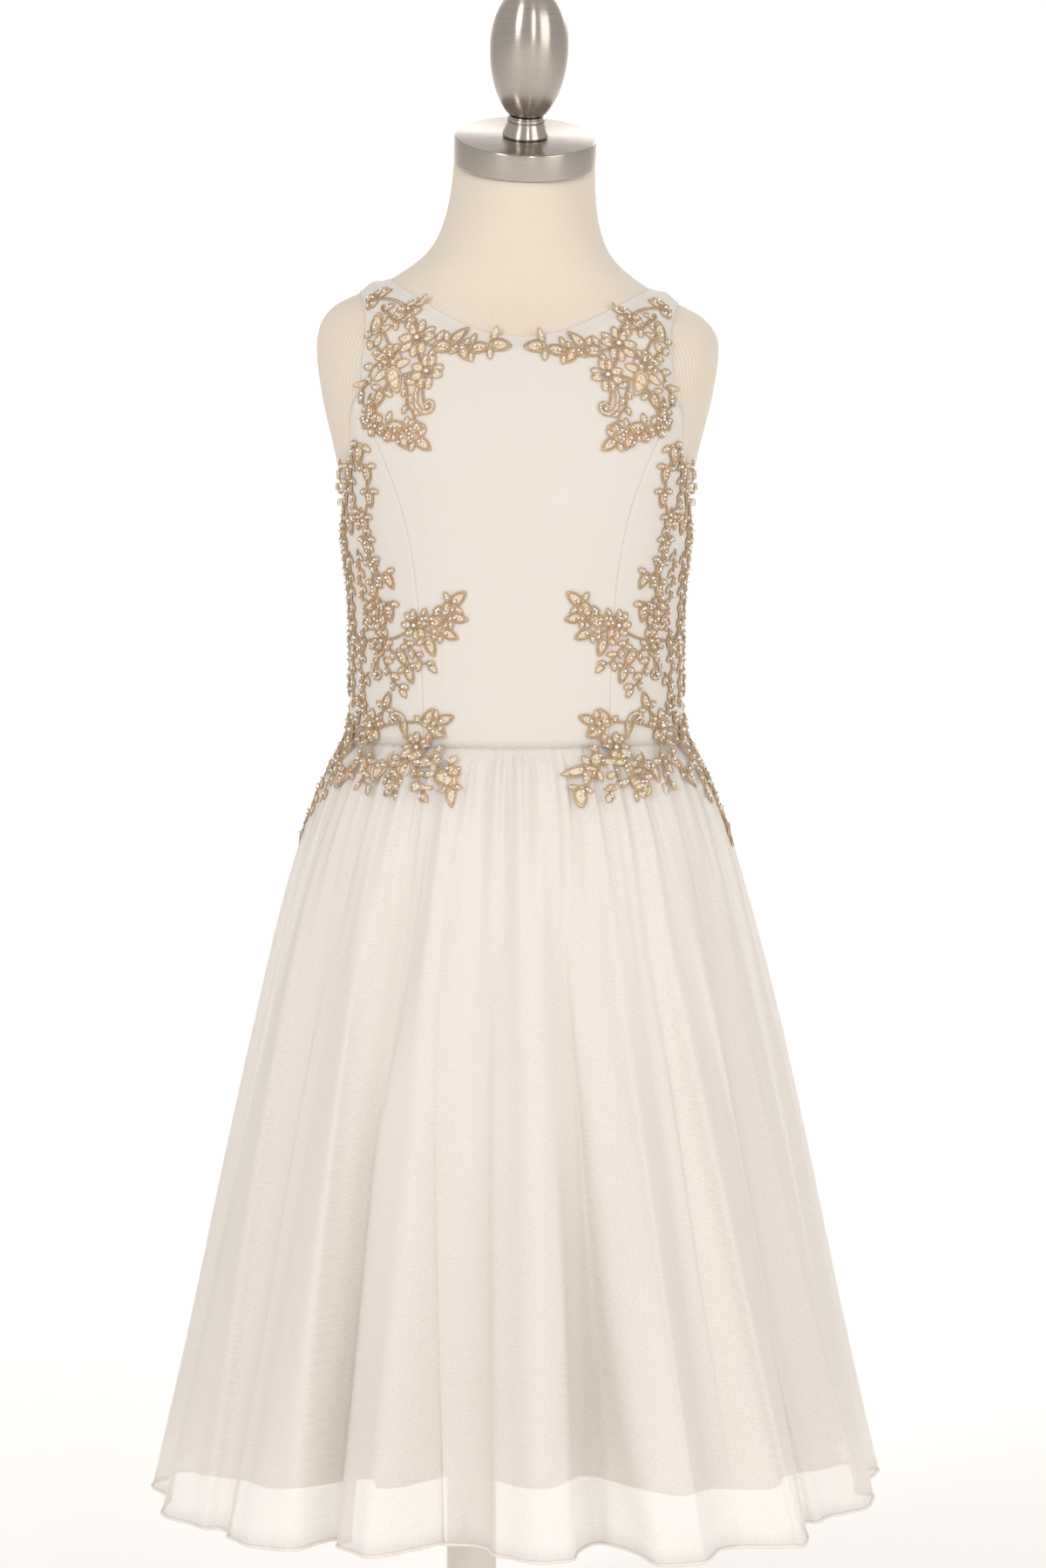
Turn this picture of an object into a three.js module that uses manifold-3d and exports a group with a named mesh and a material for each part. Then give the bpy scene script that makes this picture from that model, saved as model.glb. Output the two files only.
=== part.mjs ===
// Child's party dress on a limbless dress form.
// Millimetres, +Z up, the floor at z = 0. The front faces -Y.
// Left and right are as seen from the front, so left is -X.
import * as THREE from "three";
import { mergeVertices } from "three/addons/utils/BufferGeometryUtils.js";
import Module from "manifold-3d";

const wasm = await Module();
wasm.setup();

// Heights and lengths of the dress
const WAIST = 712;
const SKIRT_LENGTH = 511;
const LINING_LENGTH = 470;
const LINING_SIDE_DROP = 16;
const UNDERARM = 862;

// Walls of cloth, and the room between them
const SEAM_GAP = 0.3;
const FORM_GAP = 1.2;
const STRAP_LIFT = 1.7;
const BODICE_WALL = 1.6;
const CHIFFON_WALL = 1.2;
const LINING_WALL = 1.0;

// Gathers at the waist seam: one ridge for every second column of the skirt
const FRONT_COLUMNS = 72;
const GATHER_DEPTH = 2.2;
const GATHER_FADE = 150;

// Zip in the centre back seam
const ZIP_WIDTH = 1.0;
const ZIP_SLOT = ZIP_WIDTH + 2 * SEAM_GAP;
const PULL_HEIGHT = 972;
const PULL_LENGTH = 17;
const PIN_RISE = 2.9;

// Appliqué lace, measured out from the cloth that it lies on
const LACE_UNDER = 1.2;
const LACE_OVER = 2.7;

// Stand and metal fittings
const NECK_TOP = 1098;
const NECK_TILT = 19;
const NECK_BACK_SHIFT = -14;
const LEAN = 2.4;
const LEAN_FROM = 880;
const LEAN_TO = 1060;
const CAP_RADIUS = 47.6;
const CAP_HEIGHT = 18.2;
const POLE_X = -31;
const POLE_RADIUS = 17;
const BASE_RADIUS = 160;
const BASE_HEIGHT = 8;

const RAD = Math.PI / 180;
const FULL_TURN = 2 * Math.PI;

// Rows of values under named columns
function table(columns, rows) {
  const names = columns.split(" ");
  return rows.map((row) => Object.fromEntries(names.map((name, i) => [name, row[i]])));
}

// Sections of the dress form: half the width, the depth in front and behind, and how square the oval is
const FORM = table("z half front back power", [
  [528, 112, 84, 92, 2.2],
  [600, 122, 91, 103, 2.2],
  [660, 116, 85, 94, 2.2],
  [712, 110.6, 81, 86, 2.2],
  [770, 109.4, 79.5, 84, 2.2],
  [811, 110.3, 82, 87, 2.25],
  [849, 115, 85.5, 92, 2.3],
  [875, 117.5, 87, 95, 2.35],
  [905, 123, 87, 96, 2.35],
  [930, 130, 83.5, 95, 2.3],
  [955, 135.5, 77, 91, 2.2],
  [977, 138.6, 68, 85, 2.1],
  [990, 136.5, 61, 79, 2.0],
  [998, 130.5, 57, 75, 2.0],
  [1003, 123.4, 54, 72, 2.0],
  [1008, 111, 52, 69, 2.0],
  [1013, 98.5, 51, 66, 2.0],
  [1018, 88.5, 50.5, 62, 2.0],
  [1024, 79, 50, 58, 2.0],
  [1030, 70, 50, 54, 2.0],
  [1038, 61, 50, 50, 2.0],
  [1048, 54.7, 50.5, 46, 2.0],
  [1060, 50.8, 52, 42, 2.0],
  [1076, 48, 55, 36.5, 2.0],
  [1098, 47.4, 58.8, 30.8, 2.0],
]);

// Heights at which the form has a ring: few under the skirt, close together over the shoulders
const FORM_RINGS = [
  528, 620, 712, 741, 770, 811, 849, 880, 905, 930, 950, 966, 979, 990, 998, 1004, 1010, 1017, 1024,
  1032, 1044, 1066, 1098,
];

// Mean oval of the skirt at a distance below the waist seam
const FLARE = table("drop half front back power", [
  [0, 115, 85.5, 90.5, 2.2],
  [9, 119, 90, 95, 2.2],
  [20, 125, 95.5, 100, 2.18],
  [45, 137, 105, 109, 2.14],
  [84, 151, 116, 120, 2.08],
  [123, 160, 124, 129, 2.02],
  [176, 171, 134, 140, 2],
  [255, 188, 148, 155, 2],
  [334, 204, 162, 170, 2],
  [414, 218, 175, 183, 2],
  [468, 228, 184, 192, 2],
  [511, 240, 193, 200, 2],
]);

// Folds of the skirt round the hem: the angle of each crest and of the valley after it, in degrees from
// the centre front towards the right, and how far each stands outside the mean oval at the hem
const FOLDS = table("crest out valley in", [
  [5, 24, 18, -38],
  [28, 44, 38, 14],
  [47, 36, 61, -6],
  [74, 12, 85, -8],
  [97, 10, 110, -20],
  [122, 28, 133, -26],
  [145, 26, 156, -30],
  [166, 26, 178, -26],
  [188, 22, 198, -26],
  [208, 34, 219, -28],
  [230, 24, 242, -18],
  [252, 14, 262, -14],
  [272, 10, 281, 0],
  [292, 22, 303, 10],
  [316, 32, 324.5, -28],
  [334, 22, 346, -42],
]);

// Rows of the skirt's cloth, as distances below the waist seam
const SKIRT_ROWS = [0, 9, 30, 78, 165, 280, 400, SKIRT_LENGTH];
const LINING_ROWS = [0, 9, 36, 140, 300, LINING_LENGTH];

// Outer edge of the front's and the back's centre panels: the princess seam, then the armhole
const FRONT_EDGE = table("z x", [
  [712, 60],
  [760, 61],
  [811, 63.5],
  [836, 66],
  [862, 71],
  [887, 78.5],
  [906, 87],
  [924, 97.5],
  [938, 105],
  [952, 104.5],
  [965, 102.5],
  [980, 101],
  [995, 101.5],
  [1004, 104.5],
  [1010, 107.5],
]);
const BACK_EDGE = table("z x", [
  [712, 56],
  [770, 57],
  [830, 62],
  [870, 70],
  [905, 84],
  [928, 97],
  [945, 102.5],
  [962, 101],
  [980, 99.5],
  [995, 101],
  [1004, 104.5],
  [1010, 107.5],
]);

// Neck edges, from the centre to the strap, which is STRAP_IN to STRAP_OUT from the centre
const STRAP_IN = 88;
const STRAP_OUT = 107.5;
const FRONT_NECK = table("x z", [
  [0, 981],
  [20, 982.8],
  [37, 987.5],
  [55, 996.5],
  [68, 1004.5],
  [77, 1010.5],
  [84, 1015.5],
  [88, 1018.2],
]);
const BACK_NECK = table("x z", [
  [0, 990],
  [25, 991.5],
  [50, 998],
  [68, 1006.5],
  [80, 1013.5],
  [88, 1018.2],
]);

// Rows of a centre panel, and the one at which the princess seam meets the armhole
const CENTRE_ROWS = 10;
const JOIN_ROW = 5;

// Armhole edges of the side panels, from the princess seam (0) to the side seam (1)
const FRONT_ARMHOLE = table("share z", [
  [0, 943.5],
  [0.17, 934],
  [0.3, 918],
  [0.45, 900],
  [0.62, 881],
  [0.82, 867],
  [1, UNDERARM],
]);
const BACK_ARMHOLE = table("share z", [
  [0, 943.5],
  [0.2, 931],
  [0.42, 908],
  [0.66, 883],
  [0.84, 868],
  [1, UNDERARM],
]);

// Sprays of appliqué lace, alike on both sides. Each motif has its angle in degrees outwards from the
// centre front, its height above the waist, its size, the way it points (0 outwards, 90 up) and the row
// that it grows from
const SHOULDER_SPRAY = table("kind turn height size tilt from", [
  ["flower", 46, 267, 24, 0, 0],
  ["flower", 39, 246, 23, 20, 0],
  ["flower", 54, 285, 16, 0, 0],
  ["flower", 69, 292, 14, 0, 2],
  ["flower", 53, 256, 16, 0, 0],
  ["leaf", 62, 276, 15, 70, 4],
  ["leaf", 35, 262, 15, 190, 0],
  ["leaf", 30, 269, 14, 130, 6],
  ["leaf", 26, 259, 13, 235, 6],
  ["leaf", 19, 262, 14, 175, 6],
  ["leaf", 9, 264, 15, 185, 9],
  ["leaf", 50, 241, 20, 240, 1],
  ["leaf", 54, 229, 14, 290, 11],
  ["leaf", 60, 228, 14, 60, 12],
  ["scroll", 38, 226, 21, 230, 1],
  ["flower", 54, 211, 16, 0, 12],
  ["leaf", 47, 211, 15, 180, 15],
  ["leaf", 40, 210, 14, 165, 16],
  ["leaf", 44, 202, 13, 245, 16],
  ["leaf", 37, 200, 14, 215, 17],
]);
const SIDE_SPRAY = table("kind turn height size tilt from", [
  ["leaf", 61, 193, 15, 285, 0],
  ["leaf", 68, 180, 14, 275, 0],
  ["leaf", 58, 180, 13, 262, 0],
  ["leaf", 73, 164, 13, 275, 1],
  ["leaf", 58, 164, 13, 268, 2],
  ["leaf", 71, 146, 14, 265, 3],
  ["leaf", 62, 147, 13, 270, 4],
  ["leaf", 62, 132, 14, 270, 6],
  ["leaf", 60, 118, 13, 255, 7],
  ["leaf", 53, 110, 13, 240, 8],
  ["leaf", 61, 103, 13, 280, 8],
  ["flower", 58, 70, 17, 0, 13],
  ["flower", 43, 81, 21, 0, 11],
  ["leaf", 54, 89, 14, 265, 10],
  ["leaf", 64, 92, 13, 340, 13],
  ["leaf", 34, 84, 14, 150, 12],
  ["leaf", 30, 92, 13, 110, 15],
  ["leaf", 25, 99, 14, 140, 16],
  ["leaf", 25, 86, 13, 190, 15],
  ["leaf", 29, 75, 13, 205, 12],
  ["leaf", 37, 67, 14, 250, 12],
  ["leaf", 49, 59, 14, 235, 11],
  ["leaf", 46, 48, 13, 250, 21],
  ["scroll", 61, 51, 22, 280, 11],
  ["leaf", 72, 65, 14, 20, 11],
  ["leaf", 81, 79, 13, 60, 24],
  ["leaf", 84, 128, 14, 285, 5],
  ["leaf", 94, 112, 14, 290, 26],
  ["leaf", 82, 108, 13, 255, 26],
  ["flower", 96, 88, 15, 0, 27],
  ["leaf", 108, 80, 14, 330, 29],
  ["leaf", 88, 66, 14, 250, 29],
]);
const HIP_SPRAY = table("kind turn height size tilt from", [
  ["flower", 63, 13, 23, 0, 0],
  ["scroll", 51, 17, 24, 120, 0],
  ["flower", 42, 0, 21, 0, 1],
  ["leaf", 38, 20, 14, 120, 1],
  ["leaf", 31, 19, 13, 160, 3],
  ["leaf", 34, 10, 13, 200, 2],
  ["leaf", 32, -8, 14, 215, 2],
  ["leaf", 25, -15, 13, 200, 6],
  ["leaf", 27, -20, 13, 250, 6],
  ["leaf", 24, -31, 14, 262, 8],
  ["leaf", 43, -16, 14, 262, 2],
  ["leaf", 46, -26, 13, 285, 10],
  ["leaf", 53, -17, 15, 275, 0],
  ["leaf", 64, -13, 14, 305, 0],
  ["leaf", 68, -24, 13, 290, 13],
  ["leaf", 79, 2, 15, 345, 0],
  ["leaf", 56, 30, 13, 110, 0],
  ["leaf", 72, 26, 14, 50, 0],
  ["leaf", 82, -16, 14, 300, 15],
  ["leaf", 88, -34, 14, 285, 18],
  ["leaf", 88, -51, 14, 275, 19],
  ["leaf", 90, -67, 14, 285, 20],
  ["leaf", 92, 8, 15, 0, 15],
  ["leaf", 105, 0, 14, 330, 22],
]);

// Smooth reading between the rows of a table, as a cubic through each row
function read(rows, key, at) {
  const last = rows.length - 1;
  const place = THREE.MathUtils.clamp(at, rows[0][key], rows[last][key]);
  let i = 0;
  while (i < last - 1 && rows[i + 1][key] < place) i += 1;
  const [low, high] = [rows[i], rows[i + 1]];
  const [before, after] = [rows[Math.max(i - 1, 0)], rows[Math.min(i + 2, last)]];
  const span = high[key] - low[key];
  const f = (place - low[key]) / span;
  const found = {};
  for (const name of Object.keys(low)) {
    const rise = (span * (high[name] - before[name])) / (high[key] - before[key]);
    const fall = (span * (after[name] - low[name])) / (after[key] - low[key]);
    const step = high[name] - low[name];
    found[name] = low[name] + f * (rise + f * (3 * step - 2 * rise - fall + f * (rise + fall - 2 * step)));
  }
  return found;
}

const smooth = THREE.MathUtils.smoothstep;

// Distance from the upright axis to an oval whose front and back depths differ
function ovalRadius(turn, half, front, back, power) {
  const depth = Math.cos(turn) > 0 ? front : back;
  const across = Math.abs(Math.sin(turn)) / half;
  const along = Math.abs(Math.cos(turn)) / depth;
  return (across ** power + along ** power) ** (-1 / power);
}

function formRadius(turn, z) {
  const s = read(FORM, "z", z);
  return ovalRadius(turn, s.half, s.front, s.back, s.power);
}

// Point on a surface of turning angle and height, moved out along its normal
function raised(radiusAt, turn, z, out) {
  const at = (angle, height) => {
    const r = radiusAt(angle, height);
    return new THREE.Vector3(r * Math.sin(angle), -r * Math.cos(angle), height);
  };
  const [stepTurn, stepZ] = [0.004, 0.4];
  const round = at(turn + stepTurn, z).sub(at(turn - stepTurn, z));
  const up = at(turn, z + stepZ).sub(at(turn, z - stepZ));
  return at(turn, z).addScaledVector(round.cross(up).normalize(), out);
}

// Turning angle of the point of the form at a distance x from the centre, in front or behind
function turnAt(x, z, behind) {
  const s = read(FORM, "z", z);
  const share = Math.min(Math.abs(x) / s.half, 1);
  const depth = (behind ? s.back : s.front) * (1 - share ** s.power) ** (1 / s.power);
  return Math.atan2(x, (behind ? -1 : 1) * Math.max(depth, SEAM_GAP / 2));
}

// Height of the shoulder's ridge at a distance from the centre
function ridgeZ(x) {
  let [low, high] = [977, 1040];
  while (high - low > 0.01) {
    const middle = (low + high) / 2;
    if (read(FORM, "z", middle).half > Math.abs(x)) low = middle;
    else high = middle;
  }
  return low;
}

// The form leans a little to the right from the chest up, and its neck top tilts forward
function leaned(p) {
  const share = THREE.MathUtils.clamp((p.z - LEAN_FROM) / (LEAN_TO - LEAN_FROM), 0, 1);
  const slope = Math.tan(LEAN * RAD);
  const bent = (LEAN_TO - LEAN_FROM) * (share ** 3 - share ** 4 / 2);
  const shift = slope * (bent + Math.max(p.z - LEAN_TO, 0));
  const drop = slope * smooth(p.z, LEAN_FROM, LEAN_TO) * p.x;
  return new THREE.Vector3(p.x + shift, p.y, p.z - drop);
}

function tiltedNeck(p) {
  const share = smooth(p.z, 1044, NECK_TOP);
  return new THREE.Vector3(p.x, p.y, p.z + share * (p.y - NECK_BACK_SHIFT) * Math.tan(NECK_TILT * RAD));
}

function geometryOf(points, faces) {
  const geometry = new THREE.BufferGeometry();
  const values = points.flatMap((p) => p.toArray());
  geometry.setAttribute("position", new THREE.Float32BufferAttribute(values, 3));
  geometry.setIndex(faces);
  return geometry;
}

// Closed wall of cloth: pointAt(u, v, inside) gives both of its faces over the same grid
function clothWall(columns, rows, pointAt) {
  const points = [];
  const faces = [];
  for (const inside of [0, 1])
    for (let j = 0; j <= rows; j += 1)
      for (let i = 0; i <= columns; i += 1) points.push(pointAt(i, j, inside));
  const at = (i, j, inside) => (inside * (rows + 1) + j) * (columns + 1) + i;
  const quad = (a, b, c, d) => faces.push(a, b, c, a, c, d);
  for (let j = 0; j < rows; j += 1)
    for (let i = 0; i < columns; i += 1) {
      quad(at(i, j, 0), at(i + 1, j, 0), at(i + 1, j + 1, 0), at(i, j + 1, 0));
      quad(at(i, j, 1), at(i, j + 1, 1), at(i + 1, j + 1, 1), at(i + 1, j, 1));
    }
  for (let i = 0; i < columns; i += 1) {
    quad(at(i, 0, 1), at(i + 1, 0, 1), at(i + 1, 0, 0), at(i, 0, 0));
    quad(at(i, rows, 0), at(i + 1, rows, 0), at(i + 1, rows, 1), at(i, rows, 1));
  }
  for (let j = 0; j < rows; j += 1) {
    quad(at(0, j, 0), at(0, j + 1, 0), at(0, j + 1, 1), at(0, j, 1));
    quad(at(columns, j, 1), at(columns, j + 1, 1), at(columns, j + 1, 0), at(columns, j, 0));
  }
  return geometryOf(points, faces);
}

// Closed stack of rings with a flat bottom and a flat top
function ringStack(rings, sides, pointAt) {
  const points = [];
  const faces = [];
  for (const z of rings)
    for (let i = 0; i < sides; i += 1) points.push(pointAt((FULL_TURN * i) / sides, z));
  const middle = (first) => {
    const centre = new THREE.Vector3();
    for (let i = 0; i < sides; i += 1) centre.addScaledVector(points[first + i], 1 / sides);
    return points.push(centre) - 1;
  };
  const top = (rings.length - 1) * sides;
  for (let j = 0; j < rings.length - 1; j += 1)
    for (let i = 0; i < sides; i += 1) {
      const [a, b] = [j * sides + i, j * sides + ((i + 1) % sides)];
      faces.push(a, b, b + sides, a, b + sides, a + sides);
    }
  const [under, over] = [middle(0), middle(top)];
  for (let i = 0; i < sides; i += 1) {
    const next = (i + 1) % sides;
    faces.push(under, next, i, over, top + i, top + next);
  }
  return geometryOf(points, faces);
}

const COLOURS = {
  crepe: { color: 0xeee4db, roughness: 0.85, metalness: 0 },
  chiffon: { color: 0xe7dcd3, roughness: 0.8, metalness: 0 },
  lining: { color: 0xe9ded4, roughness: 0.6, metalness: 0 },
  lace: { color: 0xb79c74, roughness: 0.55, metalness: 0.3 },
  zip: { color: 0xe6dccf, roughness: 0.6, metalness: 0 },
  jersey: { color: 0xe9dccb, roughness: 0.95, metalness: 0 },
  metal: { color: 0xb4afa9, roughness: 0.32, metalness: 1 },
  steel: { color: 0xcfc6bb, roughness: 0.4, metalness: 1 },
};

const dress = new THREE.Group();
const stand = new THREE.Group();

function addMesh(group, name, look, geometry) {
  const mesh = new THREE.Mesh(geometry, new THREE.MeshStandardMaterial(COLOURS[look]));
  mesh.name = name;
  group.add(mesh);
  return mesh;
}

// Point of the bodice's cloth over the form, on its outer (0) or inner (1) face
function bodicePoint(turn, z, inside) {
  const lift = FORM_GAP + STRAP_LIFT * smooth(z, 940, 1005);
  return leaned(raised(formRadius, turn, z, lift + (inside ? 0 : BODICE_WALL)));
}

// Rows lie closer together towards the shoulder, where the cloth turns over quickly
const rowShare = (j, rows) => 1 - (1 - j / rows) ** 2.2;

// Columns of a centre panel, as shares of its half width: the last three make the strap
const STRAP_SHARE = STRAP_IN / STRAP_OUT;
const HALF_COLUMNS = [0, 0.18, 0.36, 0.52, 0.65, 0.74, 0.79, STRAP_SHARE, 0.91, 1];

// Panel between the centre line and the princess seam, with its strap: side is -1 for left, 1 for right
function centrePanel(shares, edge, neck, behind, slot) {
  const topOf = (share) => {
    const x = Math.abs(share) * STRAP_OUT;
    return x > STRAP_IN ? ridgeZ(x) : read(neck, "x", x).z;
  };
  return clothWall(shares.length - 1, CENTRE_ROWS, (i, j, inside) => {
    const share = shares[i];
    const z = WAIST + rowShare(j, CENTRE_ROWS) * (topOf(share) - WAIST);
    const half = read(edge, "z", z).x - SEAM_GAP / 2;
    const x = Math.sign(share) * slot + share * (half - slot);
    return bodicePoint(turnAt(x, z, behind), z, inside);
  });
}

// Panel between the princess seam and the side seam, up to the armhole
function sidePanel(side, edge, armhole, behind) {
  const columns = 6;
  const sideSeam = 90 * RAD;
  const join = rowShare(JOIN_ROW, CENTRE_ROWS) * (ridgeZ(STRAP_OUT) - WAIST);
  return clothWall(columns, JOIN_ROW, (i, j, inside) => {
    const share = i / columns;
    const top = share ? read(armhole, "share", share).z - WAIST : join;
    const z = WAIST + (rowShare(j, CENTRE_ROWS) / rowShare(JOIN_ROW, CENTRE_ROWS)) * top;
    const inner = Math.abs(turnAt(read(edge, "z", z).x + SEAM_GAP / 2, z, behind));
    const gap = SEAM_GAP / 2 / formRadius(sideSeam, z);
    const outer = behind ? sideSeam + gap : sideSeam - gap;
    const turn = side * (inner + share * (outer - inner));
    return bodicePoint(turn, z, inside);
  });
}

// Turns every face round if they point inwards
function facingOut(geometry) {
  const p = geometry.attributes.position;
  const corner = (i) => new THREE.Vector3().fromBufferAttribute(p, geometry.index.getX(i));
  let volume = 0;
  for (let i = 0; i < geometry.index.count; i += 3)
    volume += corner(i).dot(corner(i + 1).cross(corner(i + 2)));
  if (volume > 0) return geometry;
  const turned = [];
  for (let i = 0; i < geometry.index.count; i += 3)
    turned.push(geometry.index.getX(i), geometry.index.getX(i + 2), geometry.index.getX(i + 1));
  return geometry.setIndex(turned);
}

function addBodice() {
  const both = [...HALF_COLUMNS.slice(1).map((s) => -s).reverse(), ...HALF_COLUMNS];
  addMesh(dress, "bodice_front", "crepe", centrePanel(both, FRONT_EDGE, FRONT_NECK, false, 0));
  for (const [name, side] of [["left", -1], ["right", 1]]) {
    const shares = HALF_COLUMNS.map((share) => side * Math.max(share, 1e-6));
    const back = centrePanel(shares, BACK_EDGE, BACK_NECK, true, ZIP_SLOT / 2);
    addMesh(dress, `bodice_back_${name}`, "crepe", facingOut(back));
    const frontSide = sidePanel(side, FRONT_EDGE, FRONT_ARMHOLE, false);
    addMesh(dress, `bodice_side_front_${name}`, "crepe", facingOut(frontSide));
    const backSide = sidePanel(side, BACK_EDGE, BACK_ARMHOLE, true);
    addMesh(dress, `bodice_side_back_${name}`, "crepe", facingOut(backSide));
  }
}

// Place round the hem as a count of folds: whole numbers are crests, halves are valleys
function foldAt(place) {
  const count = FOLDS.length;
  const i = ((Math.floor(place) % count) + count) % count;
  const [fold, next] = [FOLDS[i], FOLDS[(i + 1) % count]];
  const laps = 360 * Math.floor(place / count);
  const f = 2 * (place - Math.floor(place));
  const ease = (share) => (1 - Math.cos(Math.PI * share)) / 2;
  if (f <= 1)
    return {
      turn: laps + fold.crest + f * (fold.valley - fold.crest),
      out: fold.out + ease(f) * (fold.in - fold.out),
    };
  const nextCrest = next.crest + (i === count - 1 ? 360 : 0);
  return {
    turn: laps + fold.valley + (f - 1) * (nextCrest - fold.valley),
    out: fold.in + ease(f - 1) * (next.out - fold.in),
  };
}

// Place round the hem that lies at an angle in degrees
function placeAt(turn) {
  let [low, high] = [-FOLDS.length, 2 * FOLDS.length];
  while (high - low > 1e-6) {
    const middle = (low + high) / 2;
    if (foldAt(middle).turn < turn) low = middle;
    else high = middle;
  }
  return low;
}

// Distance from the axis to the skirt's outer face, without its gathers
function skirtRadius(place, drop, inward) {
  const { turn, out } = foldAt(place);
  const s = read(FLARE, "drop", drop);
  const share = drop / SKIRT_LENGTH;
  return ovalRadius(turn * RAD, s.half, s.front, s.back, s.power) + share * out - inward;
}

function skirtPoint(place, drop, inward) {
  const r = skirtRadius(place, drop, inward);
  const turn = foldAt(place).turn * RAD;
  return new THREE.Vector3(r * Math.sin(turn), -r * Math.cos(turn), WAIST - SEAM_GAP - drop);
}

function skirtNormal(place, drop, inward) {
  const [stepPlace, stepDrop] = [0.05, 2];
  const before = skirtPoint(place - stepPlace, drop, inward);
  const round = skirtPoint(place + stepPlace, drop, inward).sub(before);
  const high = Math.max(drop - stepDrop, 0);
  const up = skirtPoint(place, high, inward).sub(skirtPoint(place, drop + stepDrop, inward));
  return round.cross(up).normalize();
}

// Depth of the gathers: shallow in the seam, full just under it, and gone where the folds take over
function gatherDepth(drop) {
  const start = 0.25 + 0.75 * smooth(drop, 0, 9);
  return GATHER_DEPTH * start * (1 - smooth(drop, 30, GATHER_FADE));
}

// Panel of the skirt between two angles, in degrees
function skirtPanel(from, to, columns) {
  const [first, last] = [placeAt(from), placeAt(to)];
  return clothWall(columns, SKIRT_ROWS.length - 1, (i, j, inside) => {
    const drop = SKIRT_ROWS[SKIRT_ROWS.length - 1 - j];
    const atEdge = i === 0 ? 1 : i === columns ? -1 : 0;
    const place = first + ((last - first) * i) / columns;
    const ridge = i % 2 ? 1 : -1;
    const p = skirtPoint(place, drop, 0);
    const n = skirtNormal(place, drop, 0);
    const round = new THREE.Vector3(-p.y, p.x, 0).normalize();
    p.addScaledVector(n, ridge * gatherDepth(drop) - (inside ? CHIFFON_WALL : 0));
    return p.addScaledVector(round, (atEdge * SEAM_GAP) / 2);
  });
}

// Room between the chiffon's outer face and the lining's, wider once both have left the seam
const liningRoom = (drop) => 2.1 + 2.8 * smooth(drop, 0, 9) + 5 * smooth(drop, 5, 70);

function liningPanel(from, to, columns) {
  const [first, last] = [placeAt(from), placeAt(to)];
  return clothWall(columns, LINING_ROWS.length - 1, (i, j, inside) => {
    const row = LINING_ROWS[LINING_ROWS.length - 1 - j];
    const place = first + ((last - first) * i) / columns;
    const sideways = Math.sin(foldAt(place).turn * RAD) ** 2;
    const drop = row + (row / LINING_LENGTH) * LINING_SIDE_DROP * sideways;
    const inward = liningRoom(drop);
    const atEdge = i === 0 ? 1 : i === columns ? -1 : 0;
    const p = skirtPoint(place, drop, inward);
    const n = skirtNormal(place, drop, inward);
    const round = new THREE.Vector3(-p.y, p.x, 0).normalize();
    p.addScaledVector(n, inside ? -LINING_WALL : 0);
    return p.addScaledVector(round, (atEdge * SEAM_GAP) / 2);
  });
}

function addSkirt() {
  const panels = table("name from to share", [
    ["front", -90, 90, 1],
    ["back_right", 90, 180, 0.5],
    ["back_left", 180, 270, 0.5],
  ]);
  for (const { name, from, to, share } of panels) {
    addMesh(dress, `skirt_${name}`, "chiffon", facingOut(skirtPanel(from, to, FRONT_COLUMNS * share)));
    const columns = 4 * Math.round(placeAt(to) - placeAt(from));
    addMesh(dress, `lining_${name}`, "lining", facingOut(liningPanel(from, to, columns)));
  }
}

// Point over the cloth at an angle outwards from the centre front and a height above the waist. The lace
// clears the crests of the gathers, and comes down to the bodice a little above the waist seam
function overCloth(turn, height, out) {
  const aboveSeam = 18;
  if (height < 0) {
    const envelope = (angle, z) => {
      const drop = Math.max(WAIST - SEAM_GAP - z, 0);
      return skirtRadius(placeAt(angle / RAD), drop, 0) + gatherDepth(drop);
    };
    return leaned(raised(envelope, turn, WAIST + height, out));
  }
  const z = WAIST + height;
  const puff = 2.3 * (1 - smooth(height, 0, aboveSeam));
  const lift = FORM_GAP + STRAP_LIFT * smooth(z, 940, 1005) + BODICE_WALL + puff;
  return leaned(raised(formRadius, turn, z, lift + out));
}

// Solid of a closed geometry, for joining and cutting
function solidOf(geometry) {
  geometry.deleteAttribute("normal");
  geometry.deleteAttribute("uv");
  const merged = mergeVertices(geometry, 1e-4);
  return new wasm.Manifold(
    new wasm.Mesh({
      numProp: 3,
      vertProperties: merged.attributes.position.array,
      triVerts: new Uint32Array(merged.index.array),
    }),
  );
}

// Flat solid of an outline, as thick as the lace
function laceSolid(outline) {
  const depth = LACE_OVER - LACE_UNDER;
  const geometry = new THREE.ExtrudeGeometry(new THREE.Shape(outline), { depth, bevelEnabled: false });
  return solidOf(geometry.translate(0, 0, LACE_UNDER));
}

const polar = (r, angle) => new THREE.Vector2(r * Math.cos(angle), r * Math.sin(angle));

// Outlines of the motifs in millimetres about their own centres, pointing along +X
function petals(size) {
  const [count, notch] = [5, 0.66];
  const outline = [];
  for (let i = 0; i < 2 * count; i += 1) {
    const r = (size / 2) * (i % 2 ? notch : 1);
    outline.push(polar(r, (Math.PI * i) / count));
  }
  return outline;
}

function scroll(size) {
  const [bends, cord] = [5, 1.3];
  const outer = [];
  const inner = [];
  for (let i = 0; i <= bends; i += 1) {
    const angle = (-0.35 + (1.55 * i) / bends) * Math.PI;
    const r = (size / 2) * (1 - (0.55 * i) / bends);
    outer.push(polar(r + cord, angle));
    inner.unshift(polar(r - cord, angle));
  }
  return [...outer, ...inner];
}

function stem(from, to, width) {
  const along = to.clone().sub(from);
  const across = along.rotateAround(new THREE.Vector2(), Math.PI / 2).setLength(width / 2);
  const [near, far] = [from.clone().sub(across), from.clone().add(across)];
  return [near, to.clone().sub(across), to.clone().add(across), far];
}

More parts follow.
